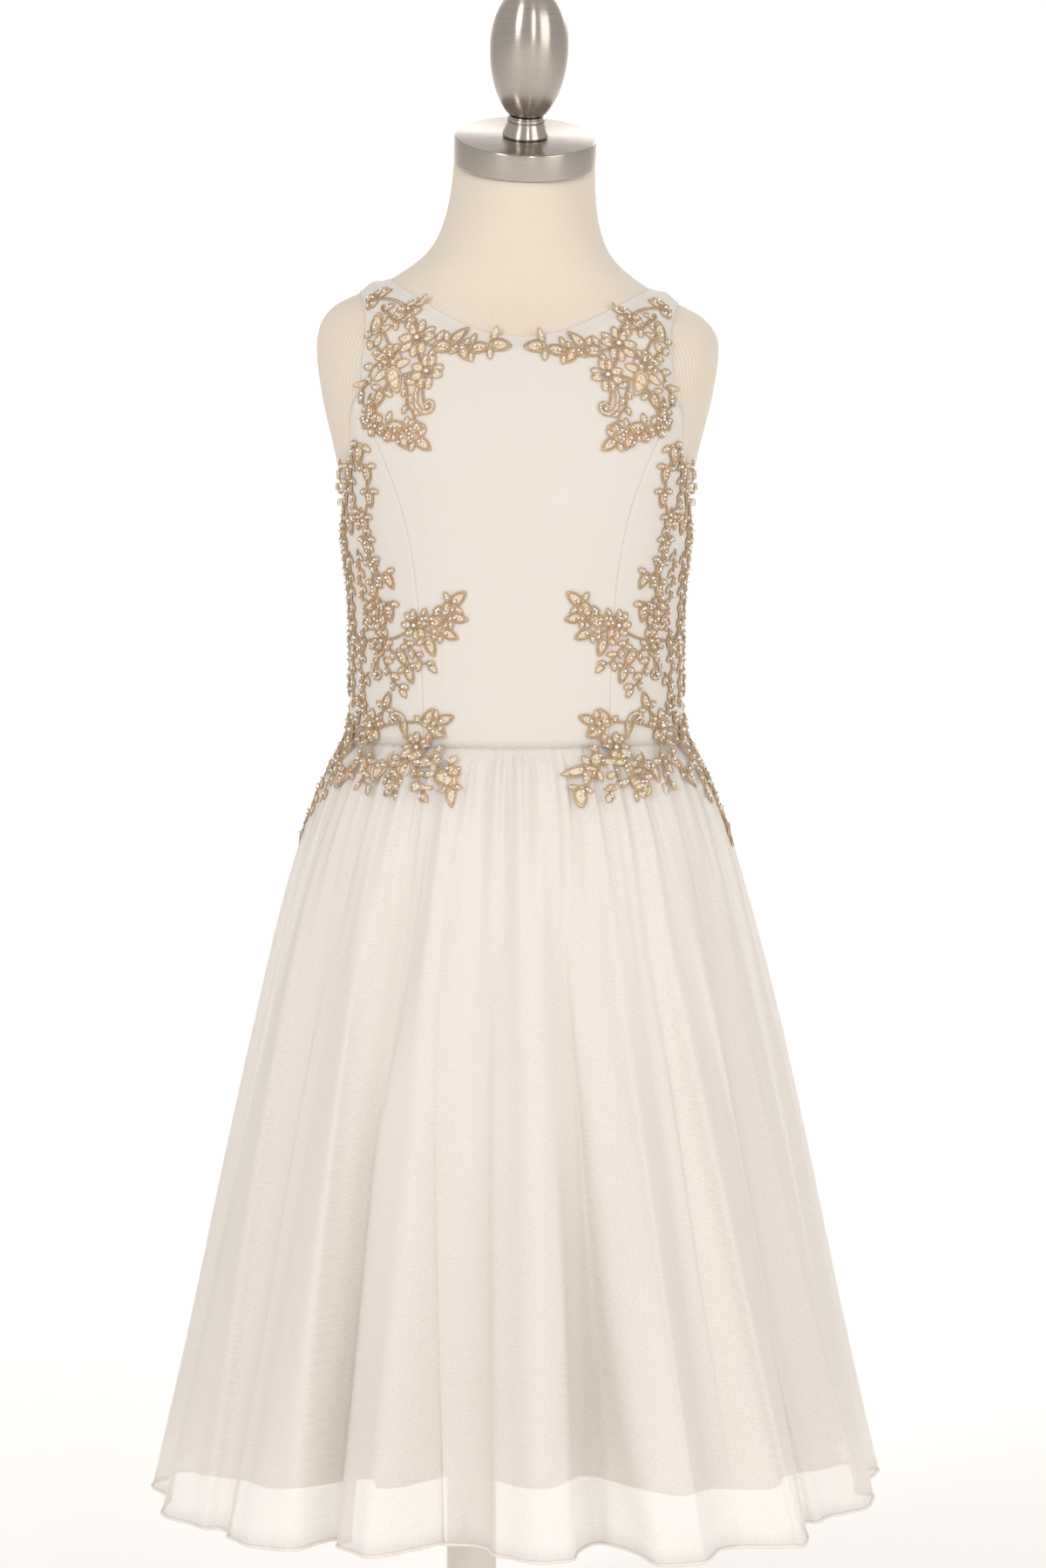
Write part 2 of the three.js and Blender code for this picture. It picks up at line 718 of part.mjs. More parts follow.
// One spray as a solid of its joined motifs, wrapped over the cloth on the left (-1) or on the right (1)
function spray(rows, side) {
  const unit = 100;
  const stemWidth = 2;
  const flat = ({ turn, height }) => new THREE.Vector2(unit * turn * RAD, height);
  const solids = [];
  const grow = (from, to) => {
    if (from.distanceTo(to) > stemWidth) solids.push(laceSolid(stem(from, to, stemWidth)));
  };
  for (const row of rows) {
    const centre = flat(row);
    const root = flat(rows[row.from]);
    const step = 0.02;
    const here = overCloth(row.turn * RAD, row.height, 0);
    const widen = (unit * step) / here.distanceTo(overCloth(row.turn * RAD + step, row.height, 0));
    const place = (p) => {
      const q = p.clone().rotateAround(new THREE.Vector2(), row.tilt * RAD);
      return new THREE.Vector2(centre.x + q.x * widen, centre.y + q.y);
    };
    if (row.kind === "flower") solids.push(laceSolid(petals(row.size).map(place)));
    if (row.kind === "scroll") solids.push(laceSolid(scroll(row.size).map(place)));
    if (row.kind !== "leaf") {
      grow(root, centre);
      continue;
    }
    // A leaf that points away from its near root grows from it as a kite, and any other leaf has a stem
    const [long, wide] = [row.size / 2, row.size / 4];
    const tip = place(new THREE.Vector2(long, 0));
    const way = root.clone().sub(centre);
    const bend = Math.cos(way.angle() - tip.clone().sub(centre).angle());
    const kite = bend < -0.3 && way.length() > long && way.length() < 1.7 * row.size;
    const tail = kite ? root : place(new THREE.Vector2(-long, 0));
    const [low, high] = [place(new THREE.Vector2(0, -wide)), place(new THREE.Vector2(0, wide))];
    const across = high.clone().sub(low).setLength(stemWidth / 2);
    solids.push(laceSolid([tail.clone().sub(across), low, tip, high, tail.clone().add(across)]));
    grow(root, tail);
  }
  const joined = solids.reduce((all, solid) => all.add(solid));
  const { vertProperties, triVerts } = joined.getMesh();
  const points = [];
  for (let i = 0; i < vertProperties.length; i += 3) {
    const [across, height, out] = vertProperties.subarray(i, i + 3);
    points.push(overCloth((side * across) / unit, height, out));
  }
  return facingOut(geometryOf(points, [...triVerts]));
}

function addLace() {
  const sprays = { shoulder: SHOULDER_SPRAY, side: SIDE_SPRAY, hip: HIP_SPRAY };
  for (const [name, rows] of Object.entries(sprays)) {
    addMesh(dress, `lace_${name}_left`, "lace", spray(rows, -1));
    addMesh(dress, `lace_${name}_right`, "lace", spray(rows, 1));
  }
}

function meshOf(solid) {
  const { vertProperties, triVerts } = solid.getMesh();
  const geometry = new THREE.BufferGeometry();
  geometry.setAttribute("position", new THREE.BufferAttribute(vertProperties, 3));
  return geometry.setIndex(new THREE.BufferAttribute(triVerts, 1));
}

// Concealed zip: the closed chain in the centre back slot, its slider, and the pull tab that swings on it
function addZip() {
  const [links, steps] = [1, 10];
  const chainLength = PULL_HEIGHT + 4 - WAIST;
  const chain = clothWall(links, steps, (i, j, inside) => {
    const z = WAIST + (j / steps) * chainLength;
    const turn = Math.PI - ((i - 0.5) * ZIP_WIDTH) / formRadius(Math.PI, z);
    return bodicePoint(turn, z, inside);
  });
  addMesh(dress, "zip_chain", "zip", facingOut(chain));

  const pull = new THREE.Group();
  const below = bodicePoint(Math.PI, PULL_HEIGHT - 1, 0);
  const up = bodicePoint(Math.PI, PULL_HEIGHT + 1, 0).sub(below);
  pull.position.copy(bodicePoint(Math.PI, PULL_HEIGHT, 0));
  pull.rotation.x = Math.atan2(-up.y, up.z);
  dress.add(pull);

  const box = (x, y, z, wide, deep, long) => {
    const geometry = new THREE.BoxGeometry(wide, deep, long);
    return solidOf(geometry.translate(x, y, z));
  };
  const rod = (radius, long) => {
    const geometry = new THREE.CylinderGeometry(radius, radius, long, 10);
    return solidOf(geometry.rotateZ(Math.PI / 2));
  };

  // Slider and tab are modelled about the middle of the pin, which lies along X at PIN_RISE from the cloth
  const [plateWide, plateThick, plateLong] = [5.4, 1, 9];
  const [lugWide, lugHigh, lugLong, lugX] = [0.8, 2.6, 2.6, 2.1];
  const [pinRadius, sunk] = [0.5, 0.1];
  const plateTop = SEAM_GAP + plateThick - PIN_RISE;
  const lugMiddle = plateTop - sunk + lugHigh / 2;
  const slider = box(0, plateTop - plateThick / 2, 0, plateWide, plateThick, plateLong)
    .add(box(-lugX, lugMiddle, 0, lugWide, lugHigh, lugLong))
    .add(box(lugX, lugMiddle, 0, lugWide, lugHigh, lugLong))
    .add(rod(pinRadius, 2 * lugX));
  addMesh(pull, "zip_slider", "metal", meshOf(slider)).position.y = PIN_RISE;

  const [eyeRadius, holeRadius, eyeWide] = [1.3, 0.85, 2.8];
  const [neckHalf, neckFoot, neckLong] = [1.2, 2.1, 2];
  const [bladeHalf, bladeThick] = [2.6, 1];
  const outline = new THREE.Shape();
  outline.moveTo(-neckHalf, -neckFoot);
  outline.lineTo(-bladeHalf, bladeHalf - PULL_LENGTH);
  outline.absarc(0, bladeHalf - PULL_LENGTH, bladeHalf, Math.PI, FULL_TURN);
  outline.lineTo(neckHalf, -neckFoot);
  const flat = { depth: bladeThick, bevelEnabled: false, curveSegments: 8 };
  const blade = new THREE.ExtrudeGeometry(outline, flat);
  blade.translate(0, 0, -bladeThick / 2).rotateX(Math.PI / 2);
  const tab = rod(eyeRadius, eyeWide)
    .add(box(0, 0, -(eyeRadius + neckFoot) / 2, 2 * neckHalf, bladeThick, neckLong))
    .add(solidOf(blade))
    .subtract(rod(holeRadius, eyeWide + 1));
  addMesh(pull, "zip_pull", "metal", meshOf(tab)).position.y = PIN_RISE;
}

// Padded torso, leaning a little and cut square at the neck
function addForm() {
  const skin = (turn, z) => {
    const r = formRadius(turn, z);
    return leaned(tiltedNeck(new THREE.Vector3(r * Math.sin(turn), -r * Math.cos(turn), z)));
  };
  addMesh(stand, "form_torso", "jersey", facingOut(ringStack(FORM_RINGS, 28, skin)));
}

// Turned metal piece from its radii and heights, closed on the axis
function turned(profile, sides) {
  const points = [[0, profile[0][1]], ...profile, [0, profile[profile.length - 1][1]]];
  const geometry = new THREE.LatheGeometry(points.map(([r, h]) => new THREE.Vector2(r, h)), sides);
  geometry.rotateX(Math.PI / 2);
  geometry.deleteAttribute("normal");
  geometry.deleteAttribute("uv");
  return facingOut(mergeVertices(geometry, 1e-4));
}

// Neck cap, collar and egg on the neck's own slope, and the pole with its socket and base
function addMetal() {
  const top = new THREE.Group();
  const slope = new THREE.Vector3(Math.tan(LEAN * RAD), -Math.tan(NECK_TILT * RAD), 1).normalize();
  top.position.copy(leaned(new THREE.Vector3(0, NECK_BACK_SHIFT, NECK_TOP)));
  top.quaternion.setFromUnitVectors(new THREE.Vector3(0, 0, 1), slope);
  stand.add(top);

  const bevel = 1.2;
  const cap = turned([
    [CAP_RADIUS, 0],
    [CAP_RADIUS, CAP_HEIGHT - bevel],
    [CAP_RADIUS - bevel, CAP_HEIGHT],
  ], 34);
  addMesh(top, "neck_cap", "metal", cap).position.z = SEAM_GAP;

  const collarFoot = 2 * SEAM_GAP + CAP_HEIGHT;
  const collarHeight = 14;
  const collar = turned([
    [15.2, 0],
    [15.6, 1.4],
    [13.8, 5.5],
    [12.4, 10],
    [12.2, collarHeight],
  ], 24);
  addMesh(top, "finial_collar", "metal", collar).position.z = collarFoot;

  const eggHeight = 88;
  const eggRadius = 26.2;
  const [widest, below, above] = [0.52, 0.579, 0.48];
  const outline = [];
  const steps = 8;
  const start = -Math.asin(widest / below);
  for (let i = 0; i < steps; i += 1) {
    const angle = start + ((Math.PI / 2 - start) * i) / steps;
    const reach = angle < 0 ? below : above;
    outline.push([eggRadius * Math.cos(angle), eggHeight * (widest + reach * Math.sin(angle))]);
  }
  const egg = turned([...outline, [0.4 * outline[steps - 1][0], eggHeight]], 22);
  addMesh(top, "finial", "metal", egg).position.z = collarFoot + collarHeight + SEAM_GAP;

  const [socketHeight, flange] = [22, 4];
  const [neckRadius, flangeRadius] = [POLE_RADIUS + 6, POLE_RADIUS + 22];
  const socketFoot = FORM[0].z - SEAM_GAP - socketHeight;
  const socket = turned([
    [neckRadius, 0],
    [neckRadius, socketHeight - flange],
    [flangeRadius, socketHeight - flange],
    [flangeRadius, socketHeight],
  ], 24);
  addMesh(stand, "pole_socket", "steel", socket).position.set(POLE_X, 0, socketFoot);

  const poleFoot = BASE_HEIGHT + SEAM_GAP;
  const poleHeight = socketFoot - SEAM_GAP - poleFoot;
  const pole = turned([[POLE_RADIUS, 0], [POLE_RADIUS, poleHeight]], 24);
  addMesh(stand, "pole", "steel", pole).position.set(POLE_X, 0, poleFoot);

  const plate = turned([
    [BASE_RADIUS, 0],
    [BASE_RADIUS, BASE_HEIGHT - 2],
    [BASE_RADIUS - 2, BASE_HEIGHT],
  ], 40);
  addMesh(stand, "base_plate", "steel", plate).position.set(POLE_X, 0, 0);
}

addBodice();
addSkirt();
addLace();
addZip();
addForm();
addMetal();

const part = new THREE.Group();
part.add(dress, stand);

export default part;
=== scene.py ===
"""Child's party dress on a limbless dress form: cloth, lace, beads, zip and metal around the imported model."""

import math

import bmesh
import bpy
import numpy as np
from mathutils import Matrix, Vector
from mathutils.bvhtree import BVHTree


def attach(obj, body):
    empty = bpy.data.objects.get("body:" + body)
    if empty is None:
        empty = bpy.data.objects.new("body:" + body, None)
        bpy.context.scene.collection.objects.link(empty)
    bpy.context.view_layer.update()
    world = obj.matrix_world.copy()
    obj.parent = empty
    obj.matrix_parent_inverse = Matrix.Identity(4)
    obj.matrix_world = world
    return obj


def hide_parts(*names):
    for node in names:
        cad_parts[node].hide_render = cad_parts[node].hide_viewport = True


bl_info = {
    "name": "Party dress on a dress form",
    "version": (1, 0, 0),
    "blender": (4, 5, 0),
    "location": "3D View > Sidebar > Dress",
    "description": "Makes the dress's cloth, lace and zip and the form's jersey and metal",
    "category": "Object",
}

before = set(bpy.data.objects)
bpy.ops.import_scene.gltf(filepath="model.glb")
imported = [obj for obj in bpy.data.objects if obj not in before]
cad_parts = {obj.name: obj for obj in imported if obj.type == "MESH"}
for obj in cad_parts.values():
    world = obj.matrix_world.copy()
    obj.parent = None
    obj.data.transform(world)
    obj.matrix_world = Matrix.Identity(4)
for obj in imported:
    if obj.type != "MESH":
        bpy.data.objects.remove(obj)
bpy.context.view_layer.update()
BODY = "dress_and_form"
MM = 0.001

# Heights in millimetres that the cloth and the lace share with the solids
WAIST = 712.0
SKIRT_LENGTH = 511.0
SIDES = {"left": -1, "right": 1}

# The solids lean to the right by this slope, which grows from the chest to the neck; heights in millimetres
LEAN = math.tan(math.radians(2.4))
LEAN_FROM = 880
LEAN_FULL = 1060

# Ground that the lace lies on: corners and faces of the smooth cloth, and of the form past the cloth's
# edges, kept as they are made
GROUND = {"cloth": ([], []), "form": ([], [])}


# Sizes and colours


class DressCloth(bpy.types.PropertyGroup):
    crepe: bpy.props.StringProperty(name="Crepe", description="Colour of the bodice", default="#DAD3CB")
    chiffon: bpy.props.StringProperty(name="Chiffon", description="Colour of the skirt", default="#F6F0EA")
    lining: bpy.props.StringProperty(name="Lining", description="Colour of the lining", default="#F6F0E9")
    sheer: bpy.props.FloatProperty(
        name="Cover", description="Share of light one face of chiffon stops", default=0.44, min=0, max=1,
        subtype="FACTOR")
    gather: bpy.props.FloatProperty(
        name="Gathers", description="Height of the waist gathers", default=0.0026, min=0, max=0.005,
        unit="LENGTH", subtype="DISTANCE")
    hem: bpy.props.FloatProperty(
        name="Rolled hem", description="Radius of the rolled hem", default=0.0011, min=0, max=0.004,
        unit="LENGTH", subtype="DISTANCE")


class DressLace(bpy.types.PropertyGroup):
    # The cord's light colour is its painted glints; the cord's material mixes it with a dark brown, painted
    # shade between the strands
    gold: bpy.props.StringProperty(
        name="Cord", description="Light colour of the gold cord", default="#EBCDA6")
    fill: bpy.props.StringProperty(
        name="Filling", description="Colour of the stitched filling", default="#F1E4D0")
    bead: bpy.props.StringProperty(name="Beads", description="Colour of the beads", default="#F6F4F0")
    cord: bpy.props.FloatProperty(
        name="Cord radius", description="Radius of the outlining cord", default=0.00038,
        min=0.0002, max=0.002,
        unit="LENGTH", subtype="DISTANCE")


class DressStand(bpy.types.PropertyGroup):
    jersey: bpy.props.StringProperty(name="Jersey", description="Colour of the form", default="#DFD3C4")
    metal: bpy.props.StringProperty(name="Nickel", description="Colour of the cap and egg", default="#C6BDB4")
    steel: bpy.props.StringProperty(name="Coated steel", description="Colour of the pole", default="#F2EBE3")
    rib: bpy.props.FloatProperty(
        name="Rib", description="Distance between the jersey's ribs", default=0.0024, min=0.0005, max=0.01,
        unit="LENGTH", subtype="DISTANCE")


# Selecting, copying and finishing


def cloth():
    return bpy.context.scene.dress_cloth


def lace():
    return bpy.context.scene.dress_lace


def stand():
    return bpy.context.scene.dress_stand


def only(obj):
    """Leaves this object alone selected and active."""
    if bpy.context.object and bpy.context.object.mode != "OBJECT":
        bpy.ops.object.mode_set(mode="OBJECT")
    bpy.ops.object.select_all(action="DESELECT")
    obj.select_set(True)
    bpy.context.view_layer.objects.active = obj


def edit(obj, *steps):
    """Runs mesh operators in edit mode, each on the whole mesh and with its own settings."""
    only(obj)
    bpy.ops.object.mode_set(mode="EDIT")
    for operator, settings in steps:
        bpy.ops.mesh.select_all(action="SELECT")
        operator(**settings)
    bpy.ops.object.mode_set(mode="OBJECT")


def linked(name, data):
    obj = bpy.data.objects.new(name, data)
    bpy.context.scene.collection.objects.link(obj)
    return obj


def new_mesh(name, points, faces):
    mesh = bpy.data.meshes.new(name)
    mesh.from_pydata([tuple(p) for p in points], [], [tuple(f) for f in faces])
    mesh.update()
    return linked(name, mesh)


def copy_of(node, name):
    """Copy of a CAD node with its loose triangles merged."""
    obj = linked(name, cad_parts[node].data.copy())
    obj.data.materials.clear()
    only(obj)
    if obj.data.has_custom_normals:
        bpy.ops.mesh.customdata_custom_splitnormals_clear()
    edit(obj, (bpy.ops.mesh.remove_doubles, {"threshold": 2e-5}))
    return obj


def quads(obj):
    edit(obj, (bpy.ops.mesh.tris_convert_to_quads, {"face_threshold": math.pi, "shape_threshold": math.pi}))


def modify(obj, kind, **settings):
    """Adds a modifier with these settings and applies it."""
    only(obj)
    modifier = obj.modifiers.new(kind.title(), kind)
    for name, value in settings.items():
        setattr(modifier, name, value)
    bpy.ops.object.modifier_apply(modifier=modifier.name)


def keep_corners(obj, level=0.5, steep=0.7, widest=2.4):
    """Creases a sheet's corners: where one way along its edge rises less than the share called level, the
    other more than steep, and the angle between them is under the widest, in radians."""
    made = bmesh.new()
    made.from_mesh(obj.data)
    crease = made.verts.layers.float.new("crease_vert")
    for vert in made.verts:
        ways = [edge.other_vert(vert).co - vert.co for edge in vert.link_edges if edge.is_boundary]
        rises = sorted(abs(way.z) / max(way.length, 1e-9) for way in ways)
        if len(ways) == 2 and rises[0] < level and rises[1] > steep and ways[0].angle(ways[1]) < widest:
            vert[crease] = 1
    made.to_mesh(obj.data)
    made.free()


def subdivide(obj, levels):
    keep_corners(obj)
    modify(obj, "SUBSURF", levels=levels, render_levels=levels, boundary_smooth="PRESERVE_CORNERS")


def corners(obj):
    """Corners of a mesh as rows of x, y and z in metres."""
    co = np.empty(3 * len(obj.data.vertices), np.float32)
    obj.data.vertices.foreach_get("co", co)
    return co.reshape(-1, 3).astype(float)


def set_corners(obj, points):
    obj.data.vertices.foreach_set("co", points.astype(np.float32).ravel())
    obj.data.update()


def wrap_uv(obj, radius):
    """UV map in metres round the upright axis: across is the turn at this radius, and up is the height."""
    mesh = obj.data
    layer = mesh.uv_layers.get("Wrap") or mesh.uv_layers.new(name="Wrap")
    points = corners(obj)
    turn = np.arctan2(points[:, 0], -points[:, 1])
    values = np.empty((len(mesh.loops), 2), np.float32)
    for face in mesh.polygons:
        loops = list(face.loop_indices)
        turns = [turn[mesh.loops[i].vertex_index] for i in loops]
        if max(turns) - min(turns) > math.pi:
            turns = [t if t > 0 else t + 2 * math.pi for t in turns]
        for i, t in zip(loops, turns):
            values[i] = (t * radius, points[mesh.loops[i].vertex_index][2])
    layer.data.foreach_set("uv", values.ravel())


def finish_piece(obj, material, nodes=(), body=BODY, edge=180):
    """Gives a piece its material and its body, and hides the CAD nodes that it stands for. Edges
    sharper than this angle in degrees stay sharp, and at 0 each face is flat."""
    obj.data.materials.clear()
    obj.data.materials.append(material)
    only(obj)
    if edge == 180:
        bpy.ops.object.shade_smooth()
    elif edge:
        bpy.ops.object.shade_smooth_by_angle(angle=math.radians(edge))
    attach(obj, body)
    if nodes:
        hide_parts(*nodes)


# Materials

# A wave texture of scale 1 has a stripe in every 0.314 m
STRIPE = 0.314


def linear(code):
    """Linear colour of an sRGB hex code, opaque."""
    parts = [int(code[i:i + 2], 16) / 255 for i in (1, 3, 5)]
    return (*[c / 12.92 if c <= 0.04045 else ((c + 0.055) / 1.055) ** 2.4 for c in parts], 1.0)


def add(material, kind, settings=None, links=None):
    """Adds a node to a material: settings are its properties or input values, links its inputs' sources."""
    made = material.node_tree.nodes.new(kind)
    for name, value in (settings or {}).items():
        if isinstance(name, int) or name in made.inputs:
            made.inputs[name].default_value = value
        else:
            setattr(made, name, value)
    for name, source in (links or {}).items():
        material.node_tree.links.new(source, made.inputs[name])
    return made


def plain_material(name, **settings):
    """Material with one Principled shader, whose sockets take these values."""
    material = bpy.data.materials.new(name)
    material.use_nodes = True
    shader = material.node_tree.nodes["Principled BSDF"]
    for key, value in settings.items():
        shader.inputs[key.replace("_", " ")].default_value = value
    return material, shader


def new_material(name, wrapped=False, **settings):
    """Material, its shader and the place that its textures read: the wrap round the axis, or the object."""
    material, shader = plain_material(name, **settings)
    if wrapped:
        return material, shader, add(material, "ShaderNodeUVMap", {"uv_map": "Wrap"}).outputs["UV"]
    return material, shader, add(material, "ShaderNodeTexCoord").outputs["Object"]


def noise(material, place, scale, detail):
    settings = {"Scale": scale, "Detail": detail}
    return add(material, "ShaderNodeTexNoise", settings, {"Vector": place}).outputs["Fac"]


def stripes(material, place, **settings):
    settings = {key.replace("__", " "): value for key, value in settings.items()}
    return add(material, "ShaderNodeTexWave", settings, {"Vector": place}).outputs["Fac"]


def combined(material, operation, first, second):
    return add(material, "ShaderNodeMath", {"operation": operation}, {0: first, 1: second}).outputs["Value"]


def between(material, socket, share, low, high):
    """Gives a socket a value from low to high, by a texture's share."""
    made = add(material, "ShaderNodeMapRange", {"To Min": low, "To Max": high}, {"Value": share})
    material.node_tree.links.new(made.outputs["Result"], socket)
    return made


def coloured(material, shader, share, low, high):
    """Base colour between two colours, by a texture's share."""
    mix = add(material, "ShaderNodeMix", {"data_type": "RGBA"}, {0: share})
    mix.inputs[6].default_value = linear(low)
    mix.inputs[7].default_value = linear(high)
    material.node_tree.links.new(mix.outputs[2], shader.inputs["Base Color"])


def raised(material, shader, height, strength, distance):
    """Relief that a texture gives, with its height in metres."""
    bump = add(material, "ShaderNodeBump", {"Strength": strength, "Distance": distance}, {"Height": height})
    material.node_tree.links.new(bump.outputs["Normal"], shader.inputs["Normal"])


def weave(material, shader, place, thread, depth, warp=0.0):
    """Plain weave as a relief: two sets of threads crossing, this far apart in metres."""
    across, along = (stripes(material, place, bands_direction=axis, Scale=STRIPE / thread, Distortion=warp,
                             Detail=1.0) for axis in ("X", "Y"))
    raised(material, shader, combined(material, "MULTIPLY", across, along), depth, thread / 2)


def crepe_material():
    # Polyester crepe, woven from hard-twisted yarn: matt, with a fine pebbled grain and a faint bloom
    material, shader, place = new_material(
        "Polyester crepe, woven", True, Roughness=0.82, Sheen_Weight=0.25, Sheen_Roughness=0.5)
    coloured(material, shader, noise(material, place, 14, 3), cloth().crepe, "#D7D0C7")
    raised(material, shader, noise(material, place, 1400, 2), 0.22, 0.0003)
    return material


def chiffon_material():
    # Polyester chiffon, an open plain weave: sheer, so what lies behind it shows, and softly matt
    material, shader, place = new_material(
        "Polyester chiffon, open weave", True, Roughness=0.78, Sheen_Weight=0.3, Sheen_Roughness=0.4)
    coloured(material, shader, noise(material, place, 9, 3), cloth().chiffon, "#F2ECE5")
    # The real threads are 0.25 mm apart, too fine to show: they are drawn 1.1 mm apart
    weave(material, shader, place, 0.0011, 0.07, warp=1.5)
    # Twisted yarns crowd and part, so the cover changes over a millimetre or two
    cover = between(material, shader.inputs["Alpha"], noise(material, place, 620, 1),
                    cloth().sheer - 0.025, cloth().sheer + 0.025)
    cover.inputs["From Min"].default_value = 0.3
    cover.inputs["From Max"].default_value = 0.7
    return material


def hem_material():
    # The same chiffon rolled and stitched into a cord: many layers, so it is no longer sheer
    material, shader, place = new_material("Chiffon, rolled hem", Roughness=0.75, Sheen_Weight=0.3)
    coloured(material, shader, noise(material, place, 300, 3), "#EFE8E1", "#E4DBD2")
    return material


def lining_material():
    # Polyester lining, woven flat and smooth: opaque, a little glossier than the chiffon over it
    material, shader, place = new_material("Polyester lining, woven", True, Roughness=0.55, Sheen_Weight=0.15)
    coloured(material, shader, noise(material, place, 11, 3), cloth().lining, "#F2EBE3")
    weave(material, shader, place, 0.0012, 0.08)
    return material


def cord_material():
    # Metallised gold thread, twisted into a cord. A fine noise mixes a dark brown, painted shade between the
    # strands, with the light gold, painted glints along the twist
    material, shader, place = new_material("Gold thread, twisted cord", Metallic=0.5, Roughness=0.4)
    coloured(material, shader, noise(material, place, 900, 2), "#8A6644", lace().gold)
    raised(material, shader, noise(material, place, 1500, 1), 0.5, 0.0003)
    return material


def fill_material():
    # Rayon satin stitch between the cords: rows of laid thread with a soft gloss
    material, shader, place = new_material("Rayon thread, satin stitch", Metallic=0.15, Roughness=0.5)
    coloured(material, shader, noise(material, place, 700, 2), "#E0CAA8", lace().fill)
    # Laid threads are 0.3 mm apart, drawn 0.9 mm apart so that they show
    rows = stripes(material, place, bands_direction="DIAGONAL", Scale=350, Distortion=2)
    raised(material, shader, rows, 0.5, 0.0004)
    return material


def bead_material():
    # Silvered glass beads, drawn and tumbled: bright and hard, with one sharp light on each
    material, shader, place = new_material(
        "Silvered glass, tumbled beads", Metallic=0.6, Roughness=0.12, Coat_Weight=0.8, Coat_Roughness=0.05)
    coloured(material, shader, noise(material, place, 120, 1), "#E2E0DE", lace().bead)
    return material


def jersey_material():
    # Cotton jersey, knitted in fine ribs and stretched over the foam: matt, with upright lines
    material, shader, place = new_material("Cotton jersey, rib knit", True, Roughness=0.92, Sheen_Weight=0.2)
    # The ribs are 1.2 mm apart on the real form, drawn at the set distance so that they show
    rib_height_and_shade = stripes(material, place, bands_direction="X", Scale=STRIPE / stand().rib, Distortion=0.6, Detail=1,
                   Detail__Scale=2)
    # The grooves between the ribs are painted darker, as painted shade; the same texture raises the ribs in the
    # relief
    coloured(material, shader, rib_height_and_shade, "#D5C9B9", stand().jersey)
    raised(material, shader, combined(material, "ADD", rib_height_and_shade, noise(material, place, 900, 2)), 0.2, 0.0005)
    return material


def nickel_material():
    # Nickel-plated metal, brushed round its axis: the fine marks draw each light out along the axis
    material, shader, place = new_material(
        "Nickel plate, brushed", Metallic=1.0, Roughness=0.28, Anisotropic=0.75, Anisotropic_Rotation=0.25)
    squeeze = add(material, "ShaderNodeMapping", {"Scale": (40, 40, 3200)}, {"Vector": place})
    marks = noise(material, squeeze.outputs["Vector"], 1, 4)
    coloured(material, shader, marks, "#A69D94", stand().metal)
    between(material, shader.inputs["Roughness"], marks, 0.2, 0.28)
    raised(material, shader, marks, 0.12, 0.0002)
    return material


def coated_material():
    # Powder-coated steel, baked: a soft even gloss with a faint orange-peel texture
    material, shader, place = new_material(
        "Steel, powder coated", Metallic=0.15, Roughness=0.38, Coat_Weight=0.2)
    coloured(material, shader, noise(material, place, 12, 3), stand().steel, "#E2D8CE")
    raised(material, shader, noise(material, place, 650, 1), 0.08, 0.0003)
    return material


def zip_material():
    # Nylon zip coil, moulded and dyed to match the cloth: smooth, with a low gloss
    material, shader, place = new_material("Nylon, moulded", Roughness=0.4)
    coloured(material, shader, noise(material, place, 400, 3), "#E8DDCF", "#DCD0C1")
    return material


# Cloth


def open_face(obj, wall, core):
    """Leaves only the outer face of a wall of cloth, as seen from the axis at each face's height, or at the
    core's at most. The faces at the wall's ends have an edge about as short as the wall is thick."""
    only(obj)
    bpy.ops.object.mode_set(mode="EDIT")
    bpy.ops.mesh.select_mode(type="FACE")
    bpy.ops.mesh.select_all(action="DESELECT")
    bpy.ops.object.mode_set(mode="OBJECT")
    points = corners(obj)
    for face in obj.data.polygons:
        ring = points[list(face.vertices)]
        shortest = min(np.linalg.norm(ring - np.roll(ring, 1, 0), axis=1))
        middle = ring.mean(0)
        seen_from = np.array([0, 0, min(middle[2], core)])
        outer = np.dot(face.normal, middle - seen_from) > 0
        face.select = bool(shortest < 1.12 * wall or not outer)
    bpy.ops.object.mode_set(mode="EDIT")
    bpy.ops.mesh.delete(type="FACE")
    bpy.ops.mesh.select_mode(type="VERT")
    bpy.ops.object.mode_set(mode="OBJECT")


def remember_ground(obj, kind="cloth"):
    """Keeps this surface as ground for the lace."""
    points, faces = GROUND[kind]
    first = len(points)
    points += [tuple(p) for p in corners(obj)]
    faces += [[first + i for i in face.vertices] for face in obj.data.polygons]


def open_edge(obj):
    """Numbers of the corners on a sheet's open edge."""
    made = bmesh.new()
    made.from_mesh(obj.data)
    numbers = [v.index for v in made.verts if v.is_boundary]
    made.free()
    return numbers


def ease(share):
    """Smooth course from 0 to 1."""
    return share * share * (3 - 2 * share)


def lay_free_edges(panels, over, margin, above=0.75, apart=0.0012):
    """Brings the edges that meet no other panel down to the form, with the cloth in a margin beside them.
    All is in metres: over the form, above the floor, and apart from the next panel."""
    form = BVHTree.FromPolygons(*GROUND["form"])
    shapes = [corners(obj) for obj in panels]
    edges = [open_edge(obj) for obj in panels]
    for i, obj in enumerate(panels):
        others = np.concatenate([shapes[k][edges[k]] for k in range(len(panels)) if k != i])
        free = [n for n in edges[i] if shapes[i][n][2] > above
                and np.min(np.linalg.norm(others - shapes[i][n], axis=1)) > apart]
        if not free:
            continue
        rim = shapes[i][free]
        moved = shapes[i].copy()
        for n, point in enumerate(shapes[i]):
            gap = np.min(np.linalg.norm(rim - point, axis=1))
            if gap < margin:
                spot, normal, _, _ = form.find_nearest(Vector(point))
                target = np.array(spot + normal * over)
                moved[n] += (target - point) * (1 - ease(gap / margin))
        set_corners(obj, moved)


